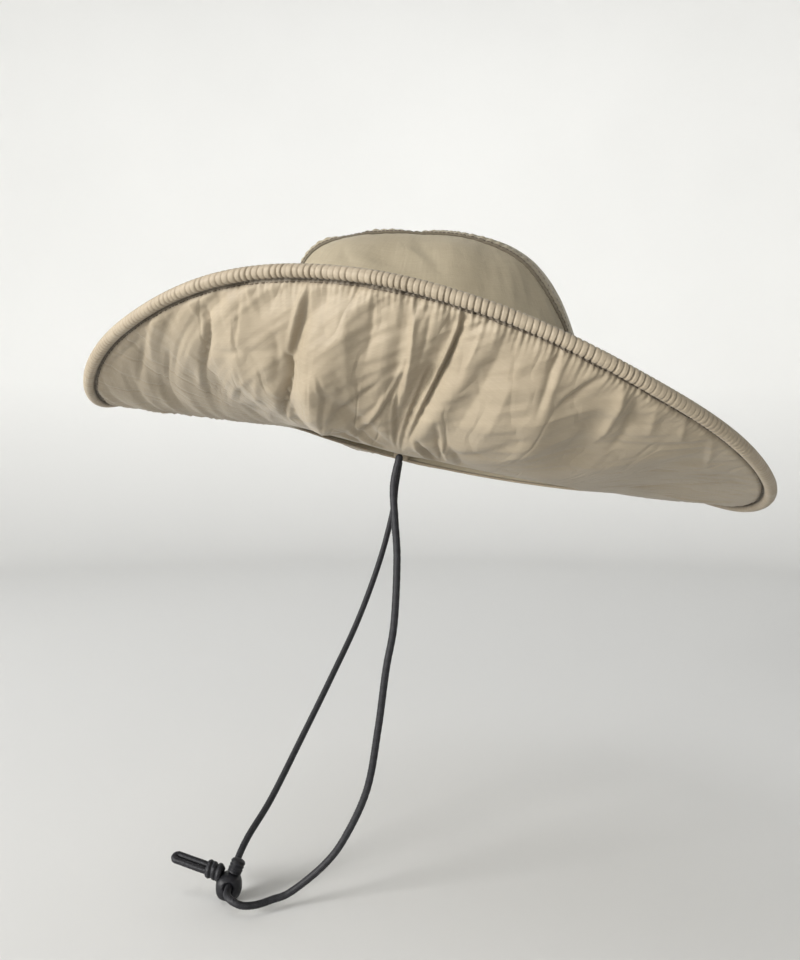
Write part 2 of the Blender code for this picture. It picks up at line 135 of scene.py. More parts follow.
class Crease(NamedTuple):
    """A sharp crease of the brim, from one place over a second to a third.

    Angles are in degrees and shares run from crown to rim. Depth and half width are in millimetres,
    and ridge is the height of the edge that stands up beside it, towards the front if positive.
    """

    first: tuple[float, float]
    second: tuple[float, float]
    third: tuple[float, float]
    half_width: float
    depth: float
    ridge: float = 0.0


class Dent(NamedTuple):
    """A dent of the crown: place as shares of the half length, half width and top."""

    along: float
    across: float
    up: float
    radius: float
    depth: float


class CrownFold(NamedTuple):
    """A fold of the crown's side as seen from there: three places along and up, in millimetres.

    Depth is inward, so a negative one stands out.
    """

    first: tuple[float, float]
    second: tuple[float, float]
    third: tuple[float, float]
    half_width: float
    depth: float


def smooth_noise(places: Array, step: float, seed: int) -> Array:
    """Smooth noise along a line.

    Args:
        places: positions along the line.
        step: distance between the random values that it passes through.
        seed: seed of those values.

    Returns:
        Values from -1 to 1, one for each position.
    """
    values = np.random.default_rng(seed).uniform(-1, 1, 4096)
    scaled = np.asarray(places) / step
    low = np.floor(scaled).astype(int)
    share = scaled - low
    share = share * share * (3 - 2 * share)
    return values[low % 4096] * (1 - share) + values[(low + 1) % 4096] * share


def wave_noise(
    across: Array,
    along: Array,
    lengths: tuple[float, float],
    stretch: float,
    count: int,
    seed: int,
) -> Array:
    """Rolling noise on a sheet, as a sum of waves that run in many directions.

    Args:
        across: positions across the folds, in metres.
        along: positions along the folds, in metres.
        lengths: shortest and longest wave, in metres.
        stretch: how much longer the waves are along the folds.
        count: number of waves.
        seed: seed of the directions and phases.

    Returns:
        Values of about -1 to 1 with the shape of the positions.
    """
    rng = np.random.default_rng(seed)
    total = np.zeros(np.broadcast(across, along).shape)
    for _ in range(count):
        wave = TURN / rng.uniform(*lengths)
        heading = rng.uniform(-1.1, 1.1)
        phase = rng.uniform(0, TURN)
        steps = across * math.cos(heading) + along * math.sin(heading) / stretch
        total += np.sin(wave * steps + phase)
    return total / math.sqrt(count)


def curve_through(spots: Array, count: int) -> Array:
    """Points on a smooth curve from one place, past a second halfway, to a third.

    Args:
        spots: the three places, one a row.
        count: number of points.

    Returns:
        The points, one a row.
    """
    steps = np.linspace(0, 1, count)[:, None]
    return (
        spots[0] * (1 - steps) * (1 - 2 * steps)
        + spots[1] * 4 * steps * (1 - steps)
        + spots[2] * steps * (2 * steps - 1)
    )


def nearest_on(curve: Array, points: Array) -> tuple[Array, Array]:
    """How far points are from a line on a sheet, and where along it they are nearest.

    Args:
        curve: points of the line, one a row.
        points: places on the sheet, with two numbers on the last axis.

    Returns:
        Distances, and shares of the way along the line.
    """
    nearest = np.full(points.shape[:-1], np.inf)
    place = np.zeros(points.shape[:-1])
    for step, (start, end) in enumerate(zip(curve, curve[1:])):
        way = end - start
        part = np.clip(((points - start) * way).sum(-1) / (way * way).sum(), 0, 1)
        distance = np.linalg.norm(points - start - way * part[..., None], axis=-1)
        closer = distance < nearest
        nearest = np.where(closer, distance, nearest)
        place = np.where(closer, (step + part) / (len(curve) - 1), place)
    return nearest, place


def unit(vectors: Array) -> Array:
    """Vectors of length one along the given ones."""
    return vectors / np.maximum(np.linalg.norm(vectors, axis=-1, keepdims=True), 1e-12)


def smooth_route(points: Sequence[Sequence[float]], spacing: float) -> Array:
    """Evenly spaced points on a smooth curve through the given ones.

    Args:
        points: the route's own points.
        spacing: distance between the points wanted.

    Returns:
        The points, one a row.
    """
    route = np.array(points, float)
    ends = np.vstack([2 * route[0] - route[1], route, 2 * route[-1] - route[-2]])
    share = np.linspace(0, 1, 32, endpoint=False)[:, None]
    dense = []
    for before, start, end, after in zip(ends, ends[1:], ends[2:], ends[3:]):
        curve = 2 * before - 5 * start + 4 * end - after
        bend = 3 * (start - end) + after - before
        dense.append(start + 0.5 * share * (end - before + share * (curve + share * bend)))
    line = np.vstack([*dense, route[-1:]])
    return evenly(line, spacing)


def evenly(line: Array, spacing: float) -> Array:
    """The same line with its points spread evenly, about spacing apart.

    Args:
        line: points of the line.
        spacing: distance between the points wanted.

    Returns:
        The new points, one a row.
    """
    lengths = np.concatenate([[0], np.cumsum(np.linalg.norm(np.diff(line, axis=0), axis=1))])
    count = max(2, round(lengths[-1] / spacing))
    goals = np.linspace(0, lengths[-1], count + 1)
    return np.stack([np.interp(goals, lengths, line[:, axis]) for axis in range(3)], axis=-1)


def line_length(line: Array) -> float:
    """Length of a line of points."""
    return float(np.linalg.norm(np.diff(line, axis=0), axis=1).sum())


def tube_frames(line: Array) -> Arrays:
    """Directions along a line and two more across it that don't twist.

    Args:
        line: points of the line.

    Returns:
        Unit vectors along, across and up, one of each for every point.
    """
    along = unit(np.gradient(line, axis=0))
    across = np.zeros_like(line)
    first = np.cross(along[0], (0.0, 0.0, 1.0))
    if np.linalg.norm(first) < 0.1:
        first = np.cross(along[0], (1.0, 0.0, 0.0))
    across[0] = unit(first)
    for i in range(1, len(line)):
        carried = across[i - 1] - along[i] * across[i - 1].dot(along[i])
        across[i] = unit(carried)
    return along, across, np.cross(along, across)


def tube_points(line: Array, sides: int, sizes: Array, squash: float = 1.0) -> Array:
    """Points round a line, in rings.

    Args:
        line: points of the line.
        sides: points in a ring.
        sizes: radius of each point, rings by sides, or rings by one.
        squash: thickness as a share of width.

    Returns:
        The points, rings by sides by three.
    """
    _, across, up = tube_frames(line)
    turn = np.linspace(0, TURN, sides, endpoint=False)[None, :]
    return (
        line[:, None]
        + across[:, None] * (np.cos(turn) * sizes)[..., None]
        + up[:, None] * (np.sin(turn) * sizes * squash)[..., None]
    )


def node_box(node: str) -> tuple[Array, Array]:
    """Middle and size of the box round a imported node.

    Args:
        node: name of the node.

    Returns:
        The middle and the size.
    """
    low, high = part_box(node)
    return (np.array(low) + np.array(high)) / 2, np.array(high - low)


def grid_mesh(
    name: str,
    points: Array,
    wrap_rows: bool = False,
    wrap_columns: bool = False,
    cloth: Array | None = None,
    caps: bool = False,
    fan: Array | None = None,
    shade: Array | None = None,
) -> bpy.types.Mesh:
    """Mesh of a grid of points.

    Args:
        name: name of the mesh.
        points: the points, rows by columns by three.
        wrap_rows: joins the last row to the first.
        wrap_columns: joins the last column to the first.
        cloth: place of each point on the flat cloth, in metres, rows by columns by two.
        caps: closes the first and last row, where columns wrap.
        fan: place of each point in the fan of small folds, rows by columns by three.
        shade: strength of the painted shade in stitched grooves and along seams, or of the painted
            highlight on braid crests, from 0 to 1.

    Returns:
        The mesh, shaded smooth, with its faces as the grid turns.
    """
    rows, columns = points.shape[:2]
    index = np.arange(rows * columns).reshape(rows, columns)
    if wrap_rows:
        index = np.vstack([index, index[:1]])
    if wrap_columns:
        index = np.hstack([index, index[:, :1]])
    corners = (index[:-1, :-1], index[:-1, 1:], index[1:, 1:], index[1:, :-1])
    faces = np.stack(corners, axis=-1).reshape(-1, 4).tolist()
    if caps:
        faces.append(list(range(columns))[::-1])
        faces.append(list(range((rows - 1) * columns, rows * columns)))
    mesh = bpy.data.meshes.new(name)
    mesh.from_pydata(points.reshape(-1, 3).tolist(), [], faces)
    if cloth is not None:
        layer = mesh.attributes.new(GRID_NAME, "FLOAT_VECTOR", "POINT")
        flat = np.zeros((rows * columns, 3), np.float32)
        flat[:, :2] = cloth.reshape(-1, 2)
        layer.data.foreach_set("vector", flat.ravel())
    if fan is not None:
        layer = mesh.attributes.new(FAN_NAME, "FLOAT_VECTOR", "POINT")
        layer.data.foreach_set("vector", fan.astype(np.float32).ravel())
    if shade is not None:
        layer = mesh.attributes.new(PAINTED_LIGHT_NAME, "FLOAT", "POINT")
        layer.data.foreach_set("value", shade.astype(np.float32).ravel())
    mesh.shade_smooth()
    return mesh


def facing_out(mesh: bpy.types.Mesh) -> bpy.types.Mesh:
    """Turns a closed mesh's faces so that they point out.

    Args:
        mesh: the closed mesh, changed in place.

    Returns:
        The same mesh.
    """
    bm = bmesh.new()
    bm.from_mesh(mesh)
    bmesh.ops.recalc_face_normals(bm, faces=bm.faces)
    if bm.calc_volume(signed=True) < 0:
        bmesh.ops.reverse_faces(bm, faces=bm.faces)
    bm.to_mesh(mesh)
    bm.free()
    return mesh


def show(
    name: str,
    mesh: bpy.types.Mesh,
    material: bpy.types.Material,
    replaces: Sequence[str] = (),
) -> bpy.types.Object:
    """Puts a finished piece in the scene, on the hat's body.

    Args:
        name: name of the piece.
        mesh: its mesh, in place.
        material: its finish.
        replaces: the nodes that it stands for.

    Returns:
        The piece.
    """
    piece = bpy.data.objects.new(name, mesh)
    mesh.materials.clear()
    mesh.materials.append(material)
    bpy.context.scene.collection.objects.link(piece)
    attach(piece, BODY)
    if replaces:
        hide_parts(*replaces)
    LOG.info("%s: %d faces", name, len(mesh.polygons))
    return piece


class Graph:
    """Adds and joins the shader nodes of one material."""

    def __init__(self, name: str) -> None:
        """Starts a material with an empty Principled shader.

        Args:
            name: name of the material.
        """
        self.material = bpy.data.materials.new(name)
        self.material.use_nodes = True
        self.tree = self.material.node_tree
        self.shader = self.tree.nodes["Principled BSDF"]

    def add(self, kind: str, **settings: object) -> bpy.types.Node:
        """Adds a node of a kind and sets its properties.

        Args:
            kind: Blender's name for the kind of node.
            settings: properties to set on it.

        Returns:
            The node.
        """
        node = self.tree.nodes.new(kind)
        for key, value in settings.items():
            setattr(node, key, value)
        return node

    def join(self, source: Socket, target: Socket) -> None:
        """Links one socket to another."""
        self.tree.links.new(source, target)

    def fix(self, socket: str, value: float) -> None:
        """Sets a plain value on one of the shader's own sockets."""
        self.shader.inputs[socket].default_value = value

    def feed(self, socket: str, source: Socket) -> None:
        """Links a socket to one of the shader's own."""
        self.join(source, self.shader.inputs[socket])

    def place(self) -> Socket:
        """Place on the piece, in metres."""
        return self.add("ShaderNodeTexCoord").outputs["Object"]

    def stored(self, name: str, output: str) -> Socket:
        """A value that the mesh stores under a name."""
        return self.add("ShaderNodeAttribute", attribute_name=name).outputs[output]

    def put(self, target: Socket, value: object) -> None:
        """Links a socket, or sets a plain value, on a target.

        Args:
            target: input socket.
            value: output socket to link, or a plain value.
        """
        if isinstance(value, Socket):
            self.join(value, target)
        else:
            target.default_value = value

    def math(self, operation: Maths, first: object, second: object = 0.0) -> Socket:
        """Result of a math node on two sockets or numbers.

        Args:
            operation: what is done with them.
            first: first socket or number.
            second: second socket or number.

        Returns:
            The result's socket.
        """
        node = self.add("ShaderNodeMath", operation=operation.name)
        self.put(node.inputs[0], first)
        self.put(node.inputs[1], second)
        return node.outputs[0]

    def noise(
        self, place: Socket, scale: float, detail: float = 2.0, rough: float = 0.5
    ) -> Socket:
        """Noise of a scale, in waves a metre, at a place.

        Args:
            place: socket of the place.
            scale: waves a metre.
            detail: number of finer layers.
            rough: how strong the finer layers are.

        Returns:
            The socket of the noise, from 0 to 1.
        """
        node = self.add("ShaderNodeTexNoise")
        self.join(place, node.inputs["Vector"])
        node.inputs["Scale"].default_value = scale
        node.inputs["Detail"].default_value = detail
        node.inputs["Roughness"].default_value = rough
        return node.outputs["Fac"]

    def ramp(
        self, factor: Socket, stops: Sequence[tuple[float, Triple]]
    ) -> Socket:
        """Colour ramp with stops of place and colour.

        Args:
            factor: socket that picks the place on the ramp.
            stops: places and their colours.

        Returns:
            The colour's socket.
        """
        node = self.add("ShaderNodeValToRGB")
        self.join(factor, node.inputs[0])
        elements = node.color_ramp.elements
        while len(elements) < len(stops):
            elements.new(0.5)
        for element, (place, colour) in zip(elements, stops):
            element.position = place
            element.color = (*colour, 1.0)
        return node.outputs["Color"]

    def between(
        self, factor: object, first: object, second: object, blend: Blend = Blend.MIX
    ) -> Socket:
        """Colour between two, by a factor.

        Args:
            factor: socket or number, 0 for the first colour.
            first: first colour or socket.
            second: second colour or socket.
            blend: how the second is laid over the first.

        Returns:
            The colour's socket.
        """
        node = self.add("ShaderNodeMix", data_type="RGBA", blend_type=blend.name)
        self.put(node.inputs[0], factor)
        self.put(node.inputs[6], first)
        self.put(node.inputs[7], second)
        return node.outputs[2]

    def bump(
        self, height: Socket, distance: float, strength: float, under: object = None
    ) -> Socket:
        """Bump of a height, on top of another normal if one is given.

        Args:
            height: socket of the height.
            distance: height of a full step, in metres.
            strength: share of the bump that is used.
            under: socket of the normal that it lies on.

        Returns:
            The normal's socket.
        """
        node = self.add("ShaderNodeBump")
        node.inputs["Distance"].default_value = distance
        node.inputs["Strength"].default_value = strength
        self.join(height, node.inputs["Height"])
        if under is not None:
            self.join(under, node.inputs["Normal"])
        return node.outputs[0]


def srgb(red: float, green: float, blue: float) -> Triple:
    """Linear colour of an sRGB one given from 0 to 255.

    Args:
        red: red value.
        green: green value.
        blue: blue value.

    Returns:
        The linear red, green and blue.
    """

    def linear(value: float) -> float:
        """Linear value of one channel."""
        share = value / 255
        return share / 12.92 if share <= 0.04045 else ((share + 0.055) / 1.055) ** 2.4

    return linear(red), linear(green), linear(blue)


@dataclass(frozen=True)
class ClothFinish:
    """Thin coated plain-weave cloth: colour, weave, slubs, soft creases, a little sheen, and painted shade
    in stitched grooves and along seams.
    """

    name: str
    light: Triple
    dark: Triple
    painted_shade_tone: tuple[float, float, float, float] = (0.035, 0.026, 0.017, 1.0)
    painted_shade_strength: float = 0.85
    thread_pitch: float = 0.42 * MM
    roughness: float = 0.58
    crease_depth: float = 0.45 * MM
    crinkle_depth: float = 8.0 * MM
    crinkle_scale: float = 58.0
    crinkle_cap: float = 0.05
    slub_scale: float = 900.0
    slub_stretch: float = 0.06
    mottle_scale: float = 26.0
    soft_scale: float = 120.0
    fine_scale: float = 420.0

    def build(self) -> bpy.types.Material:
        """Makes the material.

        Returns:
            The material.
        """
        graph = Graph(self.name)
        cloth = graph.stored(GRID_NAME, "Vector")
        place = graph.place()
        parts = graph.add("ShaderNodeSeparateXYZ")
        graph.join(cloth, parts.inputs[0])
        beat = math.pi / self.thread_pitch
        warp = graph.math(Maths.SINE, graph.math(Maths.MULTIPLY, parts.outputs[0], beat))
        weft = graph.math(Maths.SINE, graph.math(Maths.MULTIPLY, parts.outputs[1], beat))
        weave = graph.math(Maths.MULTIPLY, warp, weft)
        stretched = graph.add("ShaderNodeMapping")
        graph.join(cloth, stretched.inputs["Vector"])
        stretched.inputs["Scale"].default_value = (1.0, self.slub_stretch, 1.0)
        slubs = graph.noise(stretched.outputs[0], self.slub_scale, 3.0, 0.6)
        crossed = graph.add("ShaderNodeMapping")
        graph.join(cloth, crossed.inputs["Vector"])
        crossed.inputs["Scale"].default_value = (self.slub_stretch, 1.0, 1.0)
        picks = graph.noise(crossed.outputs[0], self.slub_scale, 3.0, 0.6)
        mottle = graph.noise(place, self.mottle_scale, 4.0, 0.55)
        tone = graph.ramp(mottle, ((0.32, self.dark), (0.68, self.light)))
        threads = graph.math(Maths.MULTIPLY, graph.math(Maths.ADD, slubs, picks), 0.5)
        shade = graph.ramp(threads, ((0.30, (0.90, 0.90, 0.90)), (0.70, (1.06, 1.06, 1.06))))
        tone = graph.between(1.0, tone, shade, Blend.MULTIPLY)
        # Painted shade: the colour is drawn towards a near-black tone where the mesh marks stitched
        # grooves, the casing's gathers and inner edge, and the crown seams' feet.
        groove = graph.stored(PAINTED_LIGHT_NAME, "Fac")
        tone = graph.between(graph.math(Maths.MULTIPLY, groove, self.painted_shade_strength), tone, self.painted_shade_tone)
        graph.feed("Base Color", tone)
        soft = graph.noise(place, self.soft_scale, 5.0, 0.62)
        fine = graph.noise(place, self.fine_scale, 4.0, 0.6)
        fan = graph.stored(FAN_NAME, "Vector")
        lines = graph.math(Maths.SUBTRACT, graph.noise(fan, self.crinkle_scale, 1.5, 0.45), 0.5)
        crinkles = graph.math(Maths.MINIMUM, graph.math(Maths.ABSOLUTE, lines), self.crinkle_cap)
        normal = graph.bump(crinkles, self.crinkle_depth, 0.8)
        normal = graph.bump(soft, self.crease_depth, 0.6, normal)
        normal = graph.bump(fine, 0.12 * MM, 0.5, normal)
        normal = graph.bump(threads, 0.06 * MM, 0.5, normal)
        normal = graph.bump(weave, 0.03 * MM, 0.45, normal)
        graph.feed("Normal", normal)
        rough = graph.math(Maths.MULTIPLY_ADD, soft, 0.16)
        rough.node.inputs[2].default_value = self.roughness - 0.08
        graph.feed("Roughness", rough)
        graph.fix("Sheen Weight", 0.12)
        graph.fix("Sheen Roughness", 0.45)
        graph.fix("Specular IOR Level", 0.38)
        return graph.material


@dataclass(frozen=True)
class ThreadFinish:
    """Twisted sewing thread."""

    name: str
    colour: Triple

    def build(self) -> bpy.types.Material:
        """Makes the material.

        Returns:
            The material.
        """
        graph = Graph(self.name)
        place = graph.place()
        fibres = graph.noise(place, 2600.0, 2.0)
        dark = tuple(0.55 * value for value in self.colour)
        tone = graph.ramp(fibres, ((0.35, dark), (0.65, self.colour)))
        graph.feed("Base Color", tone)
        graph.feed("Normal", graph.bump(fibres, 0.08 * MM, 0.6))
        graph.fix("Roughness", 0.7)
        graph.fix("Sheen Weight", 0.2)
        return graph.material


@dataclass(frozen=True)
class BraidFinish:
    """Black braided cord with a faint shine on its strands, and a painted highlight that lightens the
    strands' crests.
    """

    name: str
    colour: Triple
    # Colour of the painted highlight on the strands' crests.
    painted_crest_highlight: Triple = (0.055, 0.055, 0.062)

    def build(self) -> bpy.types.Material:
        """Makes the material.

        Returns:
            The material.
        """
        graph = Graph(self.name)
        place = graph.place()
        fibres = graph.noise(place, 3200.0, 3.0, 0.6)
        worn = graph.noise(place, 160.0, 3.0)
        pale = tuple(4.0 * value for value in self.colour)
        tone = graph.ramp(fibres, ((0.3, self.colour), (0.8, pale)))
        faded = graph.between(graph.math(Maths.MULTIPLY, worn, 0.3), tone, (*pale, 1.0))
        # Painted highlight: the strands' crests are drawn towards a lighter grey.
        painted_crest_highlight = graph.stored(PAINTED_LIGHT_NAME, "Fac")
        faded = graph.between(graph.math(Maths.MULTIPLY, painted_crest_highlight, 0.8), faded, (*self.painted_crest_highlight, 1.0))
        graph.feed("Base Color", faded)
        graph.feed("Normal", graph.bump(fibres, 0.06 * MM, 0.5))
        graph.fix("Roughness", 0.5)
        graph.fix("Specular IOR Level", 0.3)
        return graph.material


@dataclass(frozen=True)
class PlasticFinish:
    """Moulded matte plastic with a fine spark-eroded grain."""

    name: str
    colour: Triple

    def build(self) -> bpy.types.Material:
        """Makes the material.

        Returns:
            The material.
        """
        graph = Graph(self.name)
        place = graph.place()
        grain = graph.noise(place, 4200.0, 3.0, 0.6)
        rubbed = graph.noise(place, 240.0, 4.0, 0.6)
        pale = tuple(1.6 * value for value in self.colour)
        tone = graph.ramp(rubbed, ((0.3, self.colour), (0.8, pale)))
        graph.feed("Base Color", tone)
        graph.feed("Normal", graph.bump(grain, 0.04 * MM, 0.5))
        rough = graph.math(Maths.MULTIPLY_ADD, rubbed, 0.2)
        rough.node.inputs[2].default_value = 0.38
        graph.feed("Roughness", rough)
        graph.fix("Specular IOR Level", 0.3)
        return graph.material


@dataclass(frozen=True)
class PaintFinish:
    """Plain matte surface of the floor and backdrop."""

    name: str
    colour: Triple
    floor_colour: Triple = (0.70, 0.70, 0.69)
    blend_drop: float = 0.27
    blend_slope: float = 1.6

    def build(self) -> bpy.types.Material:
        """Makes the material.

        Returns:
            The material.
        """
        graph = Graph(self.name)
        place = graph.place()
        cloudy = graph.noise(place, 1.5, 2.0)
        dark = tuple(0.97 * value for value in self.colour)
        upper = graph.ramp(cloudy, ((0.3, dark), (0.7, self.colour)))
        parts = graph.add("ShaderNodeSeparateXYZ")
        graph.join(place, parts.inputs[0])
        rise = graph.math(Maths.ADD, parts.outputs[2], self.blend_drop)
        rise = graph.math(Maths.MAXIMUM, graph.math(Maths.MULTIPLY, rise, self.blend_slope), 0.0)
        rise = graph.math(Maths.MINIMUM, rise, 1.0)
        tone = graph.between(rise, (*self.floor_colour, 1.0), upper)
        graph.feed("Base Color", tone)
        graph.fix("Roughness", 0.9)
        return graph.material


@dataclass(frozen=True)
class Opening:
    """The head opening: an oval that rises to front and back, tipped back as the hat is worn."""

    length: float = 0.208
    width: float = 0.174
    rise: float = 4.5 * MM
    tilt: float = math.radians(12.5)

    def outline(self, angle: Array) -> tuple[Array, Array]:
        """Points of the oval before it is tipped, and the way straight out from it.

        Args:
            angle: angles from the back, over the wearer's left side.

        Returns:
            Points and unit vectors, each with three numbers on the last axis.
        """
        along = self.length / 2 * np.cos(angle)
        across = -self.width / 2 * np.sin(angle)
        point = np.stack([along, across, self.rise * np.cos(angle) ** 2], axis=-1)
        outward = np.stack(
            [along / self.length**2, across / self.width**2, np.zeros_like(angle)], axis=-1
        )
        return point, unit(outward)

    def tipped(self, points: Array) -> Array:
        """Points of the level hat moved to where they are on the tipped one."""
        turn = np.array(Matrix.Rotation(self.tilt, 3, "Y"))
        return points @ turn.T


@dataclass(frozen=True)
class BrimShape:
    """Form of the brim: sections round the hat, folds, pleats and puckers at the rim."""

    opening: Opening
    width: float = 0.134
    wall: float = 1.8 * MM
    casing_radius: float = 3.7 * MM
    clearance: float = 0.3 * MM
    tuck: float = 1.6 * MM
    ledge: float = 0.6 * MM
    gather_pitch: float = 3.05 * MM
    rim_samples: int = 1441
    sections: tuple[BrimSection, ...] = (
        BrimSection(angle=0, width=0.837, root_slope=9, rim_slope=4),
        BrimSection(angle=30, width=0.875, root_slope=21, rim_slope=5),
        BrimSection(angle=60, width=0.943, root_slope=7, rim_slope=39),
        BrimSection(angle=90, width=0.950, root_slope=15, rim_slope=56),
        BrimSection(angle=120, width=1.015, root_slope=-4, rim_slope=74),
        BrimSection(angle=150, width=0.962, root_slope=9, rim_slope=19),
        BrimSection(angle=180, width=1.008, root_slope=-7, rim_slope=-4),
    )
    main_folds: tuple[Fold, ...] = (
        Fold(104, 100, -0.40, 0.55, 17.4, 0.8),
        Fold(138, 114, 0.05, 1.00, 6.7, -4.8),
        Fold(130, 107, 0.10, 1.00, 10.0, 4.0),
        Fold(106, 93, 0.05, 1.00, 6.0, -4.6),
        Fold(100, 87, 0.10, 1.00, 6.7, 3.8),
        Fold(106, 101, 0.25, 1.00, 5.4, -2.9),
        Fold(104, 128, 0.00, 0.60, 6.0, -2.7),
        Fold(166, 131, 0.35, 1.00, 9.4, -2.7),
        Fold(150, 126, 0.35, 1.00, 9.4, 2.4),
        Fold(196, 148, 0.45, 1.00, 10.7, -1.9),
        Fold(58, 70, 0.15, 0.95, 10.7, -2.9),
        Fold(70, 79, 0.20, 1.00, 11.4, 2.9),
        Fold(34, 48, 0.35, 1.00, 13.4, -2.4),
        Fold(8, 14, 0.20, 0.95, 16.1, 2.1),
    )
    swells: tuple[Fold, ...] = (
        Fold(84, 78, 0.02, 0.99, 26.0, 5.5),
        Fold(98, 92, 0.10, 0.99, 14.0, -2.2),
        Fold(66, 60, 0.10, 0.97, 22.0, -2.6),
        Fold(112, 107, 0.15, 0.98, 12.0, -2.4),
        Fold(124, 115, 0.10, 0.98, 9.0, 2.2),
        Fold(160, 134, 0.20, 0.97, 16.0, 2.0),
    )
    creases: tuple[Crease, ...] = (
        Crease((117, 0.98), (119, 0.83), (122, 0.67), 1.8, 1.8, 1.5),
        Crease((123, 0.70), (126, 0.49), (143, 0.14), 1.7, 3.0, -1.4),
        Crease((124, 0.80), (125, 0.66), (130, 0.48), 4.5, 1.8),
        Crease((113, 0.60), (118, 0.36), (128, 0.10), 3.2, -1.1),
        Crease((136, 0.96), (139, 0.76), (160, 0.45), 1.5, 1.9, 1.0),
        Crease((147, 0.97), (155, 0.86), (172, 0.76), 1.7, 0.9, 0.5),
        Crease((128, 0.97), (130, 0.84), (133, 0.71), 1.0, 0.8, 0.5),
        Crease((134, 0.66), (140, 0.50), (153, 0.36), 1.1, 0.6, 0.3),
        Crease((140, 0.74), (130, 0.715), (116, 0.71), 1.2, 0.6, 0.5),
        Crease((116, 0.64), (117, 0.46), (124, 0.18), 1.1, 0.8, 0.5),
        Crease((117, 0.59), (111, 0.65), (104, 0.70), 0.9, 0.6, 0.4),
        Crease((100, 0.76), (106, 0.40), (116, 0.14), 1.3, 1.2, 0.9),
        Crease((103, 0.66), (110, 0.50), (121, 0.29), 1.1, 0.9, 0.7),
        Crease((105, 0.54), (110, 0.36), (122, 0.12), 1.5, 0.9, -0.5),
        Crease((102, 0.58), (103, 0.36), (104, 0.04), 1.3, 1.0, 0.5),
        Crease((101, 1.00), (100, 0.80), (101, 0.52), 1.7, -1.4),
        Crease((98, 1.00), (98, 0.84), (99, 0.66), 1.4, 0.9),
        Crease((93, 1.00), (94, 0.74), (100, 0.20), 1.6, 3.0, 1.5),
        Crease((96, 0.72), (99, 0.46), (103, 0.04), 1.6, 1.1, 0.9),
        Crease((90, 0.97), (90, 0.86), (91, 0.74), 1.4, -0.7),
        Crease((86, 0.99), (87, 0.70), (90, 0.34), 5.0, 0.9),
        Crease((83, 0.98), (83, 0.66), (84, 0.34), 5.5, -0.9),
        Crease((78, 1.00), (78, 0.88), (77, 0.66), 2.4, 1.3, -0.6),
        Crease((71, 0.98), (73, 0.86), (75, 0.72), 2.2, 1.1, 0.5),
        Crease((69, 1.00), (66, 0.86), (63, 0.56), 2.8, -1.6),
        Crease((66, 0.98), (63, 0.84), (59, 0.58), 3.0, 1.5),
        Crease((62, 0.97), (60, 0.88), (58, 0.80), 2.0, -0.8),
        Crease((51, 0.98), (45, 0.88), (39, 0.78), 1.6, -0.8),
        Crease((57, 0.99), (55, 0.92), (53, 0.86), 1.8, -0.7),
        Crease((74, 0.60), (80, 0.36), (86, 0.14), 6.0, 0.8),
        Crease((66, 0.70), (72, 0.46), (78, 0.20), 7.0, -0.9),
        Crease((98, 0.24), (95, 0.10), (92, 0.01), 1.8, 1.8, 1.2),
        Crease((89, 0.02), (92, 0.18), (94, 0.44), 1.9, 1.2, -0.9),
        Crease((107, 0.04), (112, 0.16), (114, 0.30), 2.2, 1.4, 0.8),
        Crease((118, 0.02), (117, 0.12), (121, 0.24), 2.0, 1.2, 0.6),
        Crease((84, 0.01), (86, 0.12), (91, 0.30), 2.4, 1.0, 0.5),
        Crease((130, 0.62), (136, 0.46), (148, 0.26), 2.4, -0.8),
        Crease((152, 0.34), (158, 0.24), (168, 0.12), 2.2, 0.7, 0.4),
        Crease((168, 0.98), (156, 0.94), (146, 0.94), 1.6, 0.5, 0.3),
        Crease((111, 0.96), (111, 0.70), (112, 0.42), 6.0, -1.2),
        Crease((107, 0.98), (107, 0.84), (108, 0.70), 2.2, 0.9),
        Crease((30, 0.90), (24, 0.62), (20, 0.24), 2.6, 1.1, 0.6),
        Crease((12, 0.96), (10, 0.70), (14, 0.40), 2.0, -0.9),
        Crease((184, 0.92), (182, 0.64), (186, 0.30), 2.0, 0.8, 0.5),
    )
    far_shift: float = 7
    far_share: float = 0.85
    crispness: float = 1.7
    ridge_place: float = 1.5
    ridge_spread: float = 0.9
    pucker_height: float = 0.8 * MM
    pucker_reach: float = 4.5 * MM
    furrow_depth: float = 1.9 * MM
    furrow_half_width: float = 2.0 * MM
    pleat_pitch: float = 7.5 * MM
    near_pleats: tuple[float, float] = (1.80, 0.62)
    far_pleats: tuple[float, float] = (4.40, 0.60)
    far_pleat_size: float = 0.55

    def section_value(self, column: str, angle: Array) -> Array:
        """One column of the table at any angle, the same on both sides.

        Args:
            column: name of the column.
            angle: angles round the hat.

        Returns:
            Values of the column, with the shape of the angles.
        """
        rows = np.array([getattr(section, column) for section in self.sections], float)
        last = len(rows) - 1
        folded = np.abs((angle + math.pi) % TURN - math.pi)
        place = folded / math.pi * last
        row = np.minimum(place.astype(int), last - 1)
        share = place - row

        def value(index: Array) -> Array:
            """Rows at an index that may lie past either end."""
            return rows[np.where(index < 0, -index, np.where(index > last, 2 * last - index, index))]

        before, start, end, after = value(row - 1), value(row), value(row + 1), value(row + 2)
        curve = 2 * before - 5 * start + 4 * end - after
        bend = 3 * (start - end) + after - before
        return start + 0.5 * share * (end - before + share * (curve + share * bend))

    def both_sides(self, folds: Sequence[Fold]) -> list[Fold]:
        """Folds of the left side and, shifted and softer, the same ones on the right.

        Args:
            folds: folds of the left side.

        Returns:
            The folds of both sides.
        """
        every = list(folds)
        for fold in folds:
            root = TURN_DEGREES - fold.root_angle + self.far_shift
            rim = TURN_DEGREES - fold.rim_angle + self.far_shift
            every.append(
                fold._replace(root_angle=root, rim_angle=rim, height=fold.height * self.far_share)
            )
        return every

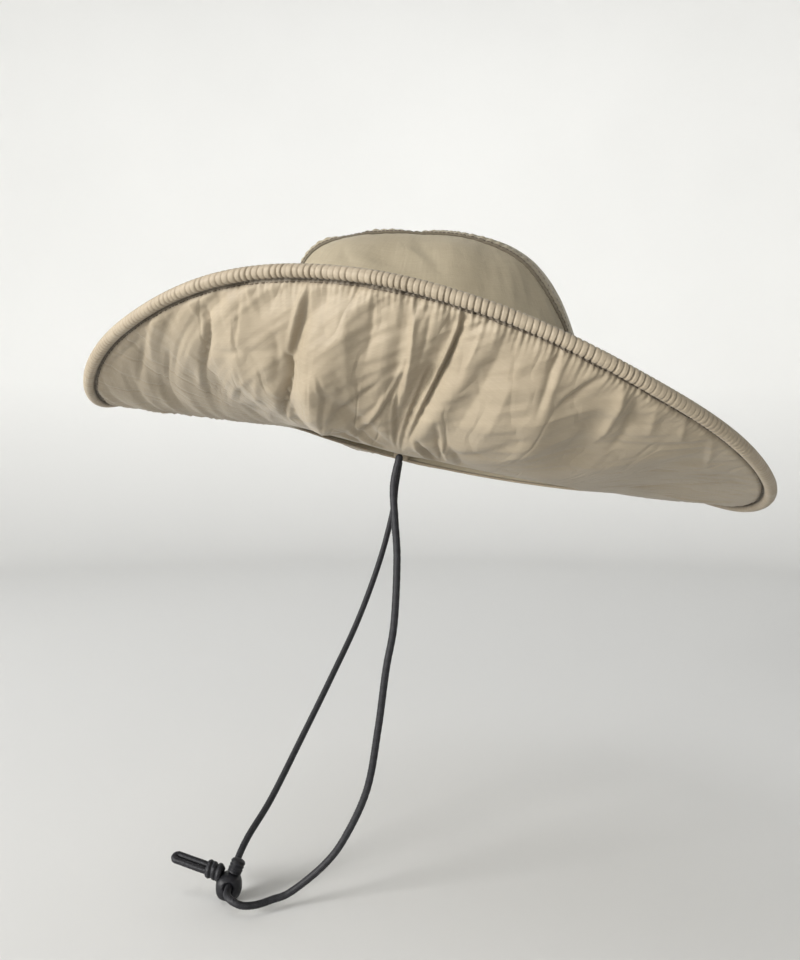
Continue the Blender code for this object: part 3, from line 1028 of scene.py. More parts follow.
    def fold_relief(
        self, folds: Sequence[Fold], angle: Array, share: Array
    ) -> Array:
        """Height of folds towards the under side.

        Args:
            folds: the folds.
            angle: angles round the hat.
            share: shares of the way from crown to rim.

        Returns:
            Heights in metres.
        """
        reach = self.opening.length / 2 + share * self.width
        total = np.zeros(np.broadcast(angle, share).shape)
        for fold in folds:
            along = (share - fold.start) / (fold.end - fold.start)
            inside = (along > 0) & (along < 1)
            line = np.radians(fold.root_angle + (fold.rim_angle - fold.root_angle) * share)
            turn = (angle - line + math.pi) % TURN - math.pi
            away = turn * reach / (fold.half_width * MM)
            swell = np.where(inside, np.sin(math.pi * np.clip(along, 0, 1)), 0.0)
            total += fold.height * MM * swell * np.exp(-(away**2))
        return total

    def near_crease(
        self, curve: Array, angle: Array, share: Array
    ) -> Arrays:
        """Where places on the brim lie beside a crease, measured on the cloth.

        Args:
            curve: points of the crease, each an angle and a share of the way to the rim.
            angle: angles round the hat.
            share: shares of the way from crown to rim.

        Returns:
            Distances from the crease, the part of them round the hat, and shares of the way along it.
        """
        reach = self.opening.length / 2 + share * self.width
        nearest = np.full(angle.shape, np.inf)
        beside = np.zeros(angle.shape)
        place = np.zeros(angle.shape)
        for step, (start, end) in enumerate(zip(curve, curve[1:])):
            turn = (angle - start[0] + math.pi) % TURN - math.pi
            point = np.stack([turn * reach, (share - start[1]) * self.width], axis=-1)
            rise = np.full(angle.shape, end[1] - start[1]) * self.width
            way = np.stack([(end[0] - start[0]) * reach, rise], axis=-1)
            part = np.clip((point * way).sum(-1) / (way * way).sum(-1), 0, 1)
            away = point - way * part[..., None]
            distance = np.hypot(away[..., 0], away[..., 1])
            closer = distance < nearest
            nearest = np.where(closer, distance, nearest)
            beside = np.where(closer, away[..., 0], beside)
            place = np.where(closer, (step + part) / (len(curve) - 1), place)
        return nearest, beside, place

    def crease_relief(self, angle: Array, share: Array) -> Array:
        """Height of the sharp creases, on both sides, towards the under side.

        Args:
            angle: angles round the hat.
            share: shares of the way from crown to rim.

        Returns:
            Heights in metres.
        """
        angle, share = np.broadcast_arrays(angle, share)
        total = np.zeros(angle.shape)
        for side in Side:
            size = 1 if side is Side.LEFT else self.far_share
            for number, crease in enumerate(self.creases):
                shift = self.far_shift * (number % 3) / 2 if side is Side.RIGHT else 0
                spots = np.array([crease.first, crease.second, crease.third])
                spots[:, 0] = np.radians(side.value * spots[:, 0] + shift)
                nearest, beside, place = self.near_crease(curve_through(spots, 9), angle, share)
                beside = beside * side.value
                width = crease.half_width * MM
                fade = np.sin(math.pi * np.clip(place, 0.0, 1.0)) ** CREASE_FADE
                cut = np.exp(-np.sqrt((nearest / width) ** 2 + 0.04) + 0.2)
                across = beside * math.copysign(1, crease.ridge) / width
                hump = np.exp(-(((across - self.ridge_place) / self.ridge_spread) ** 2))
                edge = hump * np.exp(-((nearest - np.abs(beside)) / width))
                relief = abs(crease.ridge) * edge - crease.depth * cut
                total += relief * fade * size * self.crispness * MM
        return total

    def rim_length(self, angle: Array) -> Array:
        """Length along the rim from the back to an angle, in metres.

        Args:
            angle: angles round the hat.

        Returns:
            Lengths, with the shape of the angles.
        """
        around = np.linspace(0, TURN, self.rim_samples)
        middle = self.plain_place(around, np.ones_like(around))[0]
        steps = np.linalg.norm(np.diff(middle, axis=0), axis=1)
        return np.interp(angle, around, np.concatenate([[0], np.cumsum(steps)]))

    def gather_phase(self, angle: Array) -> Array:
        """Phase of the rim's gathers at an angle, a turn for each gather.

        Args:
            angle: angles round the hat.

        Returns:
            Phases, with the shape of the angles.
        """
        length = self.rim_length(angle)
        whole = float(self.rim_length(np.array(TURN)))
        count = round(whole / self.gather_pitch)
        uneven = 1.0 * smooth_noise(length, 7 * MM, 11) + 1.6 * smooth_noise(length, 47 * MM, 12)
        ends = np.sin(math.pi * length / whole) ** 0.5
        return TURN * count * length / whole + uneven * ends

    def gather_strength(self, angle: Array) -> Array:
        """How strong the gathers are: full at the sides, softer at the front and back.

        Args:
            angle: angles round the hat.

        Returns:
            Strengths from 0.2 to 1.2.
        """
        side = np.abs(np.sin(angle)) ** 1.5
        patchy = 0.16 * smooth_noise(self.rim_length(angle), 31 * MM, 13)
        return np.clip(0.42 + 0.58 * side + patchy, 0.2, 1.2)

    def rim_relief(self, angle: Array, share: Array) -> Array:
        """Puckers, short pleats and the stitched furrow next to the casing.

        Args:
            angle: angles round the hat.
            share: shares of the way from crown to rim.

        Returns:
            Heights in metres.
        """
        length = self.rim_length(angle)
        from_rim = (1 - share) * self.width
        strength = self.gather_strength(angle)
        pucker = np.cos(self.gather_phase(angle)) * np.exp(-from_rim / self.pucker_reach)
        relief = self.pucker_height * pucker * strength
        relief = relief - self.furrow_depth * np.exp(-((from_rim / self.furrow_half_width) ** 2))
        rng = np.random.default_rng(21)
        whole = float(self.rim_length(np.array(TURN)))
        for place in np.arange(0, whole, self.pleat_pitch):
            centre = place + rng.uniform(-3, 3) * MM
            around = centre / whole * TURN
            near = math.exp(-(((around - self.near_pleats[0]) / self.near_pleats[1]) ** 2))
            far = math.exp(-(((around - self.far_pleats[0]) / self.far_pleats[1]) ** 2))
            zone = max(0.35 + 0.65 * near, self.far_pleat_size * far)
            reach = rng.uniform(9, 26) * MM * (0.6 + 1.3 * zone * rng.uniform(0.3, 1.0))
            half = rng.uniform(1.3, 2.6) * MM
            height = rng.choice((-1, 1)) * rng.uniform(0.5, 1.5) * MM * zone
            lean = rng.uniform(-0.28, 0.28)
            away = (length - centre + lean * from_rim) / half
            fade = np.clip(1 - from_rim / reach, 0, 1)
            relief = relief + height * fade * np.exp(-(away**2))
        return relief

    def wrinkle_relief(self, angle: Array, share: Array) -> Array:
        """Soft unevenness and small creases all over the cloth.

        Args:
            angle: angles round the hat.
            share: shares of the way from crown to rim.

        Returns:
            Heights in metres.
        """
        across = angle * (self.opening.length / 2 + share * self.width * 0.8)
        along = share * self.width
        ends = np.sin(angle / 2) ** 0.5
        rolling = wave_noise(across, along, (24 * MM, 70 * MM), 1.8, 18, 31)
        ruffled = wave_noise(across, along, (8 * MM, 20 * MM), 2.2, 24, 32)
        creased = np.abs(wave_noise(across, along, (10 * MM, 34 * MM), 2.6, 14, 33))
        patches = np.clip(0.5 + 0.5 * wave_noise(across, along, (40 * MM, 90 * MM), 1.0, 8, 34), 0, 1)
        crisp = np.abs(wave_noise(across, along, (6 * MM, 16 * MM), 2.0, 16, 35))
        relief = 0.6 * rolling + (0.2 * ruffled + 0.85 * (0.75 - creased)) * patches
        relief = relief + 0.3 * (0.75 - crisp) * (1.15 - patches)
        return relief * MM * ends * np.clip(share * 6, 0.15, 1)

    def plain_place(
        self, angle: Array, share: Array
    ) -> Arrays:
        """The brim's middle without folds, its upward normal and the way to the rim.

        Args:
            angle: angles round the hat.
            share: shares of the way from crown to rim.

        Returns:
            Points and unit vectors of the level hat.
        """
        angle, share = np.broadcast_arrays(angle, share)
        point, outward = self.opening.outline(angle)
        root = np.radians(self.section_value("root_slope", angle))
        rim = np.radians(self.section_value("rim_slope", angle))
        width = self.width * self.section_value("width", angle)
        width = width - 2 * self.casing_radius - self.clearance
        turn = rim - root
        turn = np.where(np.abs(turn) < 1e-4, 1e-4, turn)
        slope = root + turn * share
        out = self.ledge + width * (np.sin(slope) - np.sin(root)) / turn
        up = width * (np.cos(root) - np.cos(slope)) / turn + self.wall / 2
        upright = np.array((0.0, 0.0, 1.0))
        along = outward * np.cos(slope)[..., None] + upright * np.sin(slope)[..., None]
        normal = upright * np.cos(slope)[..., None] - outward * np.sin(slope)[..., None]
        middle = point + outward * out[..., None] + upright * up[..., None]
        return middle, normal, along

    def main_relief(self, angle: Array, share: Array) -> Array:
        """Height of the main folds alone."""
        return self.fold_relief(self.both_sides(self.main_folds), angle, share)

    def place(
        self, angle: Array, share: Array
    ) -> Arrays:
        """The brim's middle with all its folds, its normal and the way to the rim.

        Args:
            angle: angles round the hat.
            share: shares of the way from crown to rim.

        Returns:
            Points and unit vectors of the level hat.
        """
        middle, normal, along = self.plain_place(angle, share)
        relief = self.main_relief(angle, share)
        relief = relief + self.fold_relief(self.both_sides(self.swells), angle, share)
        relief = relief + self.crease_relief(angle, share)
        relief = relief + self.rim_relief(angle, share) + self.wrinkle_relief(angle, share)
        return middle - normal * relief[..., None], normal, along


@dataclass(frozen=True)
class Brim:
    """The brim's cloth: one closed shell of two layers, with every fold."""

    shape: BrimShape
    finish: ClothFinish
    columns: int = 1080
    under_rows: int = 70
    upper_rows: int = 19
    overlap: float = 0.012
    fan_radius: float = 0.17
    fan_draw: float = 0.28
    fan_lean: float = 0.35
    upright_angle: float = 80
    crowding: float = 0.16
    painted_shade_half_width: float = 1.3 * MM

    def shares(self, rows: int) -> Array:
        """Shares of the way to the rim and just into the casing, closer together near it."""
        even = np.linspace(0, 1, rows)
        return (0.5 * even + 0.5 * np.sin(even * math.pi / 2)) * (1 + self.overlap)

    def angles(self) -> Array:
        """Angles round the hat, closer together on both sides than at the front and back."""
        even = np.linspace(0, TURN, self.columns, endpoint=False)
        return even + self.crowding * np.sin(2 * even)

    def fan(self, angle: Array, share: Array) -> Array:
        """Places in which small folds run from the crown to the rim, leaning as the main ones do.

        Args:
            angle: angles round the hat.
            share: shares of the way from crown to rim.

        Returns:
            Places for the crinkle noise, with three numbers on the last axis.
        """
        turned = (angle + math.pi) % TURN - math.pi
        past_side = np.abs(turned) - math.radians(self.upright_angle)
        lean = self.fan_lean * past_side * np.sin(turned) * (1 - share)
        label = turned - lean
        drawn = self.fan_draw * share * self.shape.width
        ring = (self.fan_radius * np.cos(label), self.fan_radius * np.sin(label), drawn)
        return np.stack(np.broadcast_arrays(*ring), axis=-1)

    def build(self) -> bpy.types.Object:
        """Builds the shell and shows it in place of the brim node.

        Returns:
            The brim's cloth.
        """
        shape = self.shape
        angle = self.angles()[:, None]
        share = self.shares(self.under_rows)[None, :]
        middle, normal, _ = shape.place(angle, share)
        under = middle - normal * shape.wall / 2
        upper_share = self.shares(self.upper_rows)[None, :]
        middle, normal, _ = shape.place(angle, upper_share)
        upper = middle + normal * shape.wall / 2
        point, outward = shape.opening.outline(angle[:, 0])
        below = (point - outward * shape.tuck)[:, None, :]
        tucked = below + np.array((0, 0, shape.wall))
        rings = np.concatenate([tucked, upper, under[:, ::-1], below], axis=1)
        shares = np.concatenate([[[0.0]], upper_share, share[:, ::-1], [[0.0]]], axis=1)
        run = shares * shape.width + 0 * angle
        around = angle * shape.opening.length / 2 + angle * run * 0.85
        cloth = np.stack([around, run], axis=-1)
        from_rim = (1 - shares) * shape.width
        # Painted shade along the stitched furrow next to the casing.
        shade = np.exp(-((from_rim / self.painted_shade_half_width) ** 2)) + 0 * angle
        points = shape.opening.tipped(rings)
        mesh = grid_mesh(
            "brim_cloth",
            points,
            wrap_rows=True,
            wrap_columns=True,
            cloth=cloth,
            fan=self.fan(angle, shares),
            shade=shade,
        )
        return show("brim_cloth", facing_out(mesh), self.finish.build(), ["brim"])


@dataclass(frozen=True)
class Casing:
    """The rim casing: a tube of cloth gathered round a hoop, and its row of stitches."""

    shape: BrimShape
    finish: ClothFinish
    thread: ThreadFinish
    samples: int = 11
    sides: int = 16
    depth: float = 0.50
    groove_share: float = 0.14
    pinch: float = 0.16
    stitch_pitch: float = 2.6 * MM
    stitch_length: float = 2.4 * MM
    stitch_radius: float = 0.36 * MM
    stitch_share: float = 0.990
    bow: float = 0.05 * MM
    sink: float = -0.16 * MM

    def centre_line(self, angle: Array) -> Arrays:
        """Middle of the casing at angles round the hat, with its normal and way out.

        Args:
            angle: angles round the hat.

        Returns:
            Points and unit vectors of the level hat.
        """
        middle, normal, along = self.shape.plain_place(angle, np.ones_like(angle))
        relief = self.shape.main_relief(angle, np.ones_like(angle) * 0.999)
        middle = middle - normal * relief[..., None]
        return middle + along * self.shape.casing_radius, normal, along

    def build(self) -> bpy.types.Object:
        """Builds the gathered tube.

        Returns:
            The casing.
        """
        shape = self.shape
        whole = float(shape.rim_length(np.array(TURN)))
        count = round(whole / shape.gather_pitch) * self.samples
        angle = np.linspace(0, TURN, count, endpoint=False)
        centre, normal, along = self.centre_line(angle)
        side = np.linspace(0, TURN, self.sides, endpoint=False)[None, :]
        phase = shape.gather_phase(angle)[:, None]
        strength = shape.gather_strength(angle)[:, None]
        length = shape.rim_length(angle)[:, None]
        lean = 0.5 + 0.6 * smooth_noise(length, 26 * MM, 41)
        turned = (phase + lean * np.sin(side)) / TURN
        away = np.abs((turned + 0.5) % 1 - 0.5)
        uneven = 0.62 + 0.5 * smooth_noise(length + 0.003 * np.sin(side), 3.1 * MM, 42)
        groove = np.exp(-((away / self.groove_share) ** 2)) * np.clip(uneven, 0.1, 1.2)
        inner = 0.5 - 0.5 * np.cos(side)
        depth = self.depth * strength * (0.35 + 0.65 * inner)
        radius = shape.casing_radius * (1.05 - depth * groove)
        radius = radius * (1 + 0.03 * smooth_noise(length + 0.5, 40 * MM, 43))
        radius = radius * (1 - self.pinch * np.clip(-np.cos(side), 0, 1) ** 3)
        ring = along[:, None] * np.cos(side)[..., None] + normal[:, None] * np.sin(side)[..., None]
        points = centre[:, None] + ring * radius[..., None]
        girth = side * shape.casing_radius
        cloth = np.stack(np.broadcast_arrays(length, girth), axis=-1)
        # Painted shade: dark along the casing's inner edge against the brim, lighter in the bottoms of its
        # gathers.
        shade = np.clip(-np.cos(side), 0, 1) ** 10 + 0.35 * np.clip(groove, 0, 1) ** 2
        mesh = grid_mesh(
            "rim_casing",
            shape.opening.tipped(points),
            wrap_rows=True,
            wrap_columns=True,
            cloth=cloth,
            shade=np.clip(shade, 0, 1),
        )
        finish = self.finish.build()
        return show("rim_casing", facing_out(mesh), finish, ["brim_casing"])

    def build_stitches(self) -> bpy.types.Object:
        """Builds the stitches that hold the casing, on both faces of the brim.

        Returns:
            The stitches, as one piece.
        """
        shape = self.shape
        whole = float(shape.rim_length(np.array(TURN)))
        around = np.linspace(0, TURN, 4000)
        lengths = shape.rim_length(around)
        starts = np.arange(0, whole - self.stitch_pitch, self.stitch_pitch)
        rows = []
        for face in (-1, 1):
            lines = []
            for offset in STITCH_POINTS:
                angle = np.interp(starts + offset * self.stitch_length, lengths, around)
                middle, normal, _ = shape.place(angle, np.full_like(angle, self.stitch_share))
                sunk = self.bow if offset == 0.5 else self.sink
                lines.append(middle + normal * face * (shape.wall / 2 + sunk))
            rows.append(np.stack(lines, axis=1))
        lines = shape.opening.tipped(np.concatenate(rows))
        mesh = stitch_mesh("rim_stitches", lines, self.stitch_radius)
        return show("rim_stitches", mesh, self.thread.build())


def stitch_mesh(name: str, lines: Array, radius: float) -> bpy.types.Mesh:
    """Mesh of many stitches, each a short bowed thread that thins at its ends.

    Args:
        name: name of the mesh.
        lines: for each stitch, its start, middle and end.
        radius: radius of the thread.

    Returns:
        One mesh with a closed body for each stitch.
    """
    sides = STITCH_SIDES
    turn = np.linspace(0, TURN, sides, endpoint=False)
    spots = STITCH_PROFILE
    along = unit(lines[:, 2] - lines[:, 0])
    across = unit(np.cross(along, np.array((0.31, 0.47, 0.83))))
    up = np.cross(along, across)
    rings = []
    for place, size in spots:
        start, middle, end = (1 - place) ** 2, 2 * place * (1 - place), place**2
        centre = lines[:, 0] * start + lines[:, 1] * middle + lines[:, 2] * end
        circle = across[:, None] * np.cos(turn)[:, None] + up[:, None] * np.sin(turn)[:, None]
        rings.append(centre[:, None] + circle * radius * size)
    points = np.stack(rings, axis=1)
    count = len(lines)
    each = len(spots) * sides
    faces = []
    for ring in range(len(spots) - 1):
        for side in range(sides):
            following = (side + 1) % sides
            low, high = ring * sides, (ring + 1) * sides
            faces.append((low + side, low + following, high + following, high + side))
    firsts = each * np.arange(count)[:, None, None]
    quads = (np.array(faces)[None] + firsts).reshape(-1, 4)
    caps = []
    for first in range(count):
        base = first * each
        caps.append([base + side for side in range(sides)][::-1])
        caps.append([base + (len(spots) - 1) * sides + side for side in range(sides)])
    mesh = bpy.data.meshes.new(name)
    mesh.from_pydata(points.reshape(-1, 3).tolist(), [], quads.tolist() + caps)
    mesh.shade_smooth()
    return mesh


@dataclass(frozen=True)
class CrownShape:
    """Form of the crown: a boxy dome of three panels with soft dents and puckered seams."""

    opening: Opening
    top: float = 0.155
    front_squareness: float = 6.0
    side_squareness: float = 3.1
    back_squareness: float = 2.9
    front_fullness: float = 4.4
    back_fullness: float = 2.4
    filling_rise: float = 0.35
    fullest_share: float = 0.995
    strip_width: float = 0.092
    wall: float = 1.2 * MM
    brim_wall: float = 1.8 * MM
    clearance: float = 0.3 * MM
    seam_width: float = 8.5 * MM
    seam_shift: float = 1.6 * MM
    pucker_pitch: float = 6.0 * MM
    pucker_height: float = 0.22
    pucker_half_width: float = 6.5 * MM
    noise_radius: float = 0.09
    heart_radius: float = 0.095
    top_radius: float = 0.085
    right_fold_shift: tuple[float, float] = (6 * MM, -3 * MM)
    dents: tuple[Dent, ...] = (
        Dent(-0.54, -0.48, 1.00, 12.4, 6.6),
        Dent(-0.60, -0.70, 0.88, 20.0, -2.4),
        Dent(-0.15, -0.49, 0.99, 8.4, 3.4),
        Dent(-0.36, -0.86, 0.74, 25.2, 3.5),
        Dent(0.48, -0.82, 0.66, 29.6, 3.8),
        Dent(0.05, 0.12, 1.00, 45.2, 2.1),
        Dent(-0.94, -0.04, 0.76, 39.2, 8.5),
        Dent(-0.30, 0.52, 0.97, 13.9, 4.5),
        Dent(0.10, 0.95, 0.62, 31.3, 4.2),
        Dent(0.90, 0.06, 0.42, 27.8, 3.1),
    )

    folds: tuple[CrownFold, ...] = (
        CrownFold((-60, 134), (-58, 127), (-53, 116), 3.0, 2.2),
        CrownFold((-64, 131), (-50, 125), (-22, 112), 3.6, -1.5),
        CrownFold((-45, 129), (-35, 127), (-24, 122), 4.5, 1.9),
        CrownFold((-27, 134), (-13, 126), (-5, 110), 3.2, -1.7),
        CrownFold((-18, 136), (-6, 128), (1, 110), 5.0, 1.8),
        CrownFold((2, 140), (10, 126), (12, 106), 6.5, -1.0),
        CrownFold((24, 137), (30, 120), (27, 98), 6.0, 1.3),
        CrownFold((38, 132), (46, 116), (47, 94), 4.5, -1.1),
        CrownFold((55, 122), (60, 108), (58, 86), 4.5, 1.2),
        CrownFold((-70, 110), (-62, 92), (-66, 66), 6.0, 1.5),
        CrownFold((-40, 104), (-34, 80), (-38, 48), 7.0, -1.4),
        CrownFold((-14, 100), (-10, 72), (-16, 40), 7.0, 1.4),
        CrownFold((18, 96), (16, 68), (22, 36), 7.0, -1.3),
        CrownFold((44, 84), (38, 58), (42, 30), 6.5, 1.5),
        CrownFold((66, 76), (70, 54), (62, 26), 6.0, -1.2),
    )

    def squareness(self, angle: Array) -> Array:
        """How boxy the crown is in a direction.

        Args:
            angle: angles round the hat.

        Returns:
            Powers of the crown's section, 2 for an oval one.
        """
        lengthwise = np.cos(angle)
        end = np.where(lengthwise < 0, self.front_squareness, self.back_squareness)
        return self.side_squareness + (end - self.side_squareness) * lengthwise**2

    def raised(self, angle: Array, inward: Array, inset: float) -> Array:
        """Points of the smooth crown, from inward 1 at the wall to 0 at the top.

        Args:
            angle: angles round the hat.
            inward: shares of the way from the top to the wall.
            inset: how far inside the outer face they lie.

        Returns:
            The points, with three numbers on the last axis.
        """
        angle, inward = np.broadcast_arrays(angle, inward)
        power = self.squareness(angle)
        rise = np.maximum(0.0, 1 - inward**power) ** (1 / power)
        base = np.stack(
            [
                (self.opening.length / 2 - inset) * np.cos(angle),
                -(self.opening.width / 2 - inset) * np.sin(angle),
                self.opening.rise * np.cos(angle) ** 2 + self.brim_wall + self.clearance,
            ],
            axis=-1,
        )
        base = self.opening.tipped(base)
        reach = base[..., 0] * inward * self.filling(angle, np.abs(np.sin(angle)) * inward, rise)
        top = self.top - inset
        height = base[..., 2] * (1 - rise) + top * rise
        return np.stack([reach, base[..., 1] * inward, height], axis=-1)

    def filling(
        self, angle: Array, across_share: Array, rise: Array
    ) -> Array:
        """How much further out lengthwise the crown reaches than an oval one.

        Args:
            angle: angles round the hat.
            across_share: places across the hat, as shares of its half width.
            rise: shares of the way up.

        Returns:
            Factors for the places along the hat.
        """
        power = np.where(np.cos(angle) < 0, self.front_fullness, self.back_fullness)
        share = np.minimum(self.fullest_share, across_share)
        full = (1 - share**power) ** (1 / power) / np.sqrt(1 - share * share)
        return 1 + (full - 1) * np.minimum(1.0, rise / self.filling_rise)

    def soft(self, points: Array) -> Array:
        """Moves points of the smooth crown by its dents, seam puckers and wrinkles.

        Args:
            points: points of the smooth crown.

        Returns:
            The moved points.
        """
        half = np.array((self.opening.length / 2, self.opening.width / 2, self.top))
        depth = np.zeros(points.shape[:-1])
        for dent in self.dents:
            centre = half * np.array((dent.along, dent.across, dent.up))
            away = np.linalg.norm(points - centre, axis=-1) / (dent.radius * MM)
            depth += dent.depth * MM * np.exp(-(away**2))
        heart = np.zeros_like(points)
        heart[..., 1] = points[..., 1]
        heart[..., 2] = self.top / 3
        inwards = unit(heart - points)
        fade = np.clip(points[..., 2] / (self.top / 4), 0, 1)
        depth = depth + self.side_folds(points)
        return points + inwards * (depth * fade + self.fine(points))[..., None]

    def side_folds(self, points: Array) -> Array:
        """Inward moves of the folds on both sides, in metres.

        Args:
            points: points of the smooth crown.

        Returns:
            Moves, one for each point.
        """
        total = np.zeros(points.shape[:-1])
        seen = np.stack([points[..., 0], points[..., 2]], axis=-1)
        for side in Side:
            across = -side.value * points[..., 1] / (self.strip_width / 2)
            beside = np.clip(across - 0.9, 0, 0.3) / 0.3
            shift = np.array((0.0, 0.0) if side is Side.LEFT else self.right_fold_shift)
            for fold in self.folds:
                spots = np.array([fold.first, fold.second, fold.third]) * MM + shift
                nearest, place = nearest_on(curve_through(spots, 7), seen)
                width = fold.half_width * MM
                cut = np.exp(-np.sqrt((nearest / width) ** 2 + 0.09) + 0.3)
                total += fold.depth * MM * cut * np.sin(math.pi * place) ** CREASE_FADE * beside
        return total

    def fine(self, points: Array) -> Array:
        """Inward moves of the seams' puckers and of small wrinkles.

        Args:
            points: points of the smooth crown.

        Returns:
            Moves in metres, one for each point.
        """
        bearing = np.arctan2(points[..., 2] - self.top / 3, points[..., 0])
        seam = np.abs(np.abs(points[..., 1]) - self.strip_width / 2)
        run = bearing * self.heart_radius + np.sign(points[..., 1]) * 0.7
        uneven = 1.4 * smooth_noise(run + 2, 17 * MM, 51)
        pucker = np.cos(TURN * run / self.pucker_pitch + uneven)
        patchy = 0.65 + 0.5 * smooth_noise(run + 1, 14 * MM, 52)
        relief = self.pucker_height * pucker * patchy * np.exp(-((seam / self.pucker_half_width) ** 2))
        around = np.arctan2(points[..., 1], points[..., 0]) * self.noise_radius
        rolling = wave_noise(around, points[..., 2], (28 * MM, 70 * MM), 1.2, 16, 53)
        creased = np.abs(wave_noise(around, points[..., 2], (14 * MM, 40 * MM), 1.4, 12, 54))
        # Noise by bearing would draw a star at the top, so noise by place takes over there.
        spread = np.clip(np.hypot(points[..., 0], points[..., 1]) / self.top_radius, 0, 1) ** 2
        lying = wave_noise(points[..., 0], points[..., 1], (26 * MM, 48 * MM), 1.2, 14, 55)
        rolling = rolling * spread + lying * (1 - spread)
        creased = 0.7 + (creased - 0.7) * spread
        rise = np.clip((points[..., 2] - 0.01) / 0.04, 0.1, 1)
        return (relief + (0.6 * rolling + 0.35 * (creased - 0.7)) * rise) * MM

    def seam_rail(self, across: float, count: int) -> Array:
        """Points on the crown along a plane across the hat, evenly spread.

        Args:
            across: place of the plane.
            count: number of points.

        Returns:
            The points, from the front of the opening to its back.
        """
        widest = math.asin(min(1.0, abs(across) / (self.opening.width / 2)))
        share = 0.5 - 0.5 * np.cos(math.pi * np.linspace(0, 1, 6000))
        share = 0.5 - 0.5 * np.cos(math.pi * share)
        angle = math.pi - widest + (2 * widest - math.pi) * share
        inward = np.minimum(1.0, abs(across) / (self.opening.width / 2 * np.sin(angle)))
        line = self.raised(angle, inward, 0.0)
        line[:, 1] = across
        spaced = evenly(line, line_length(line) / (count - 1))
        return self.soft(spaced)


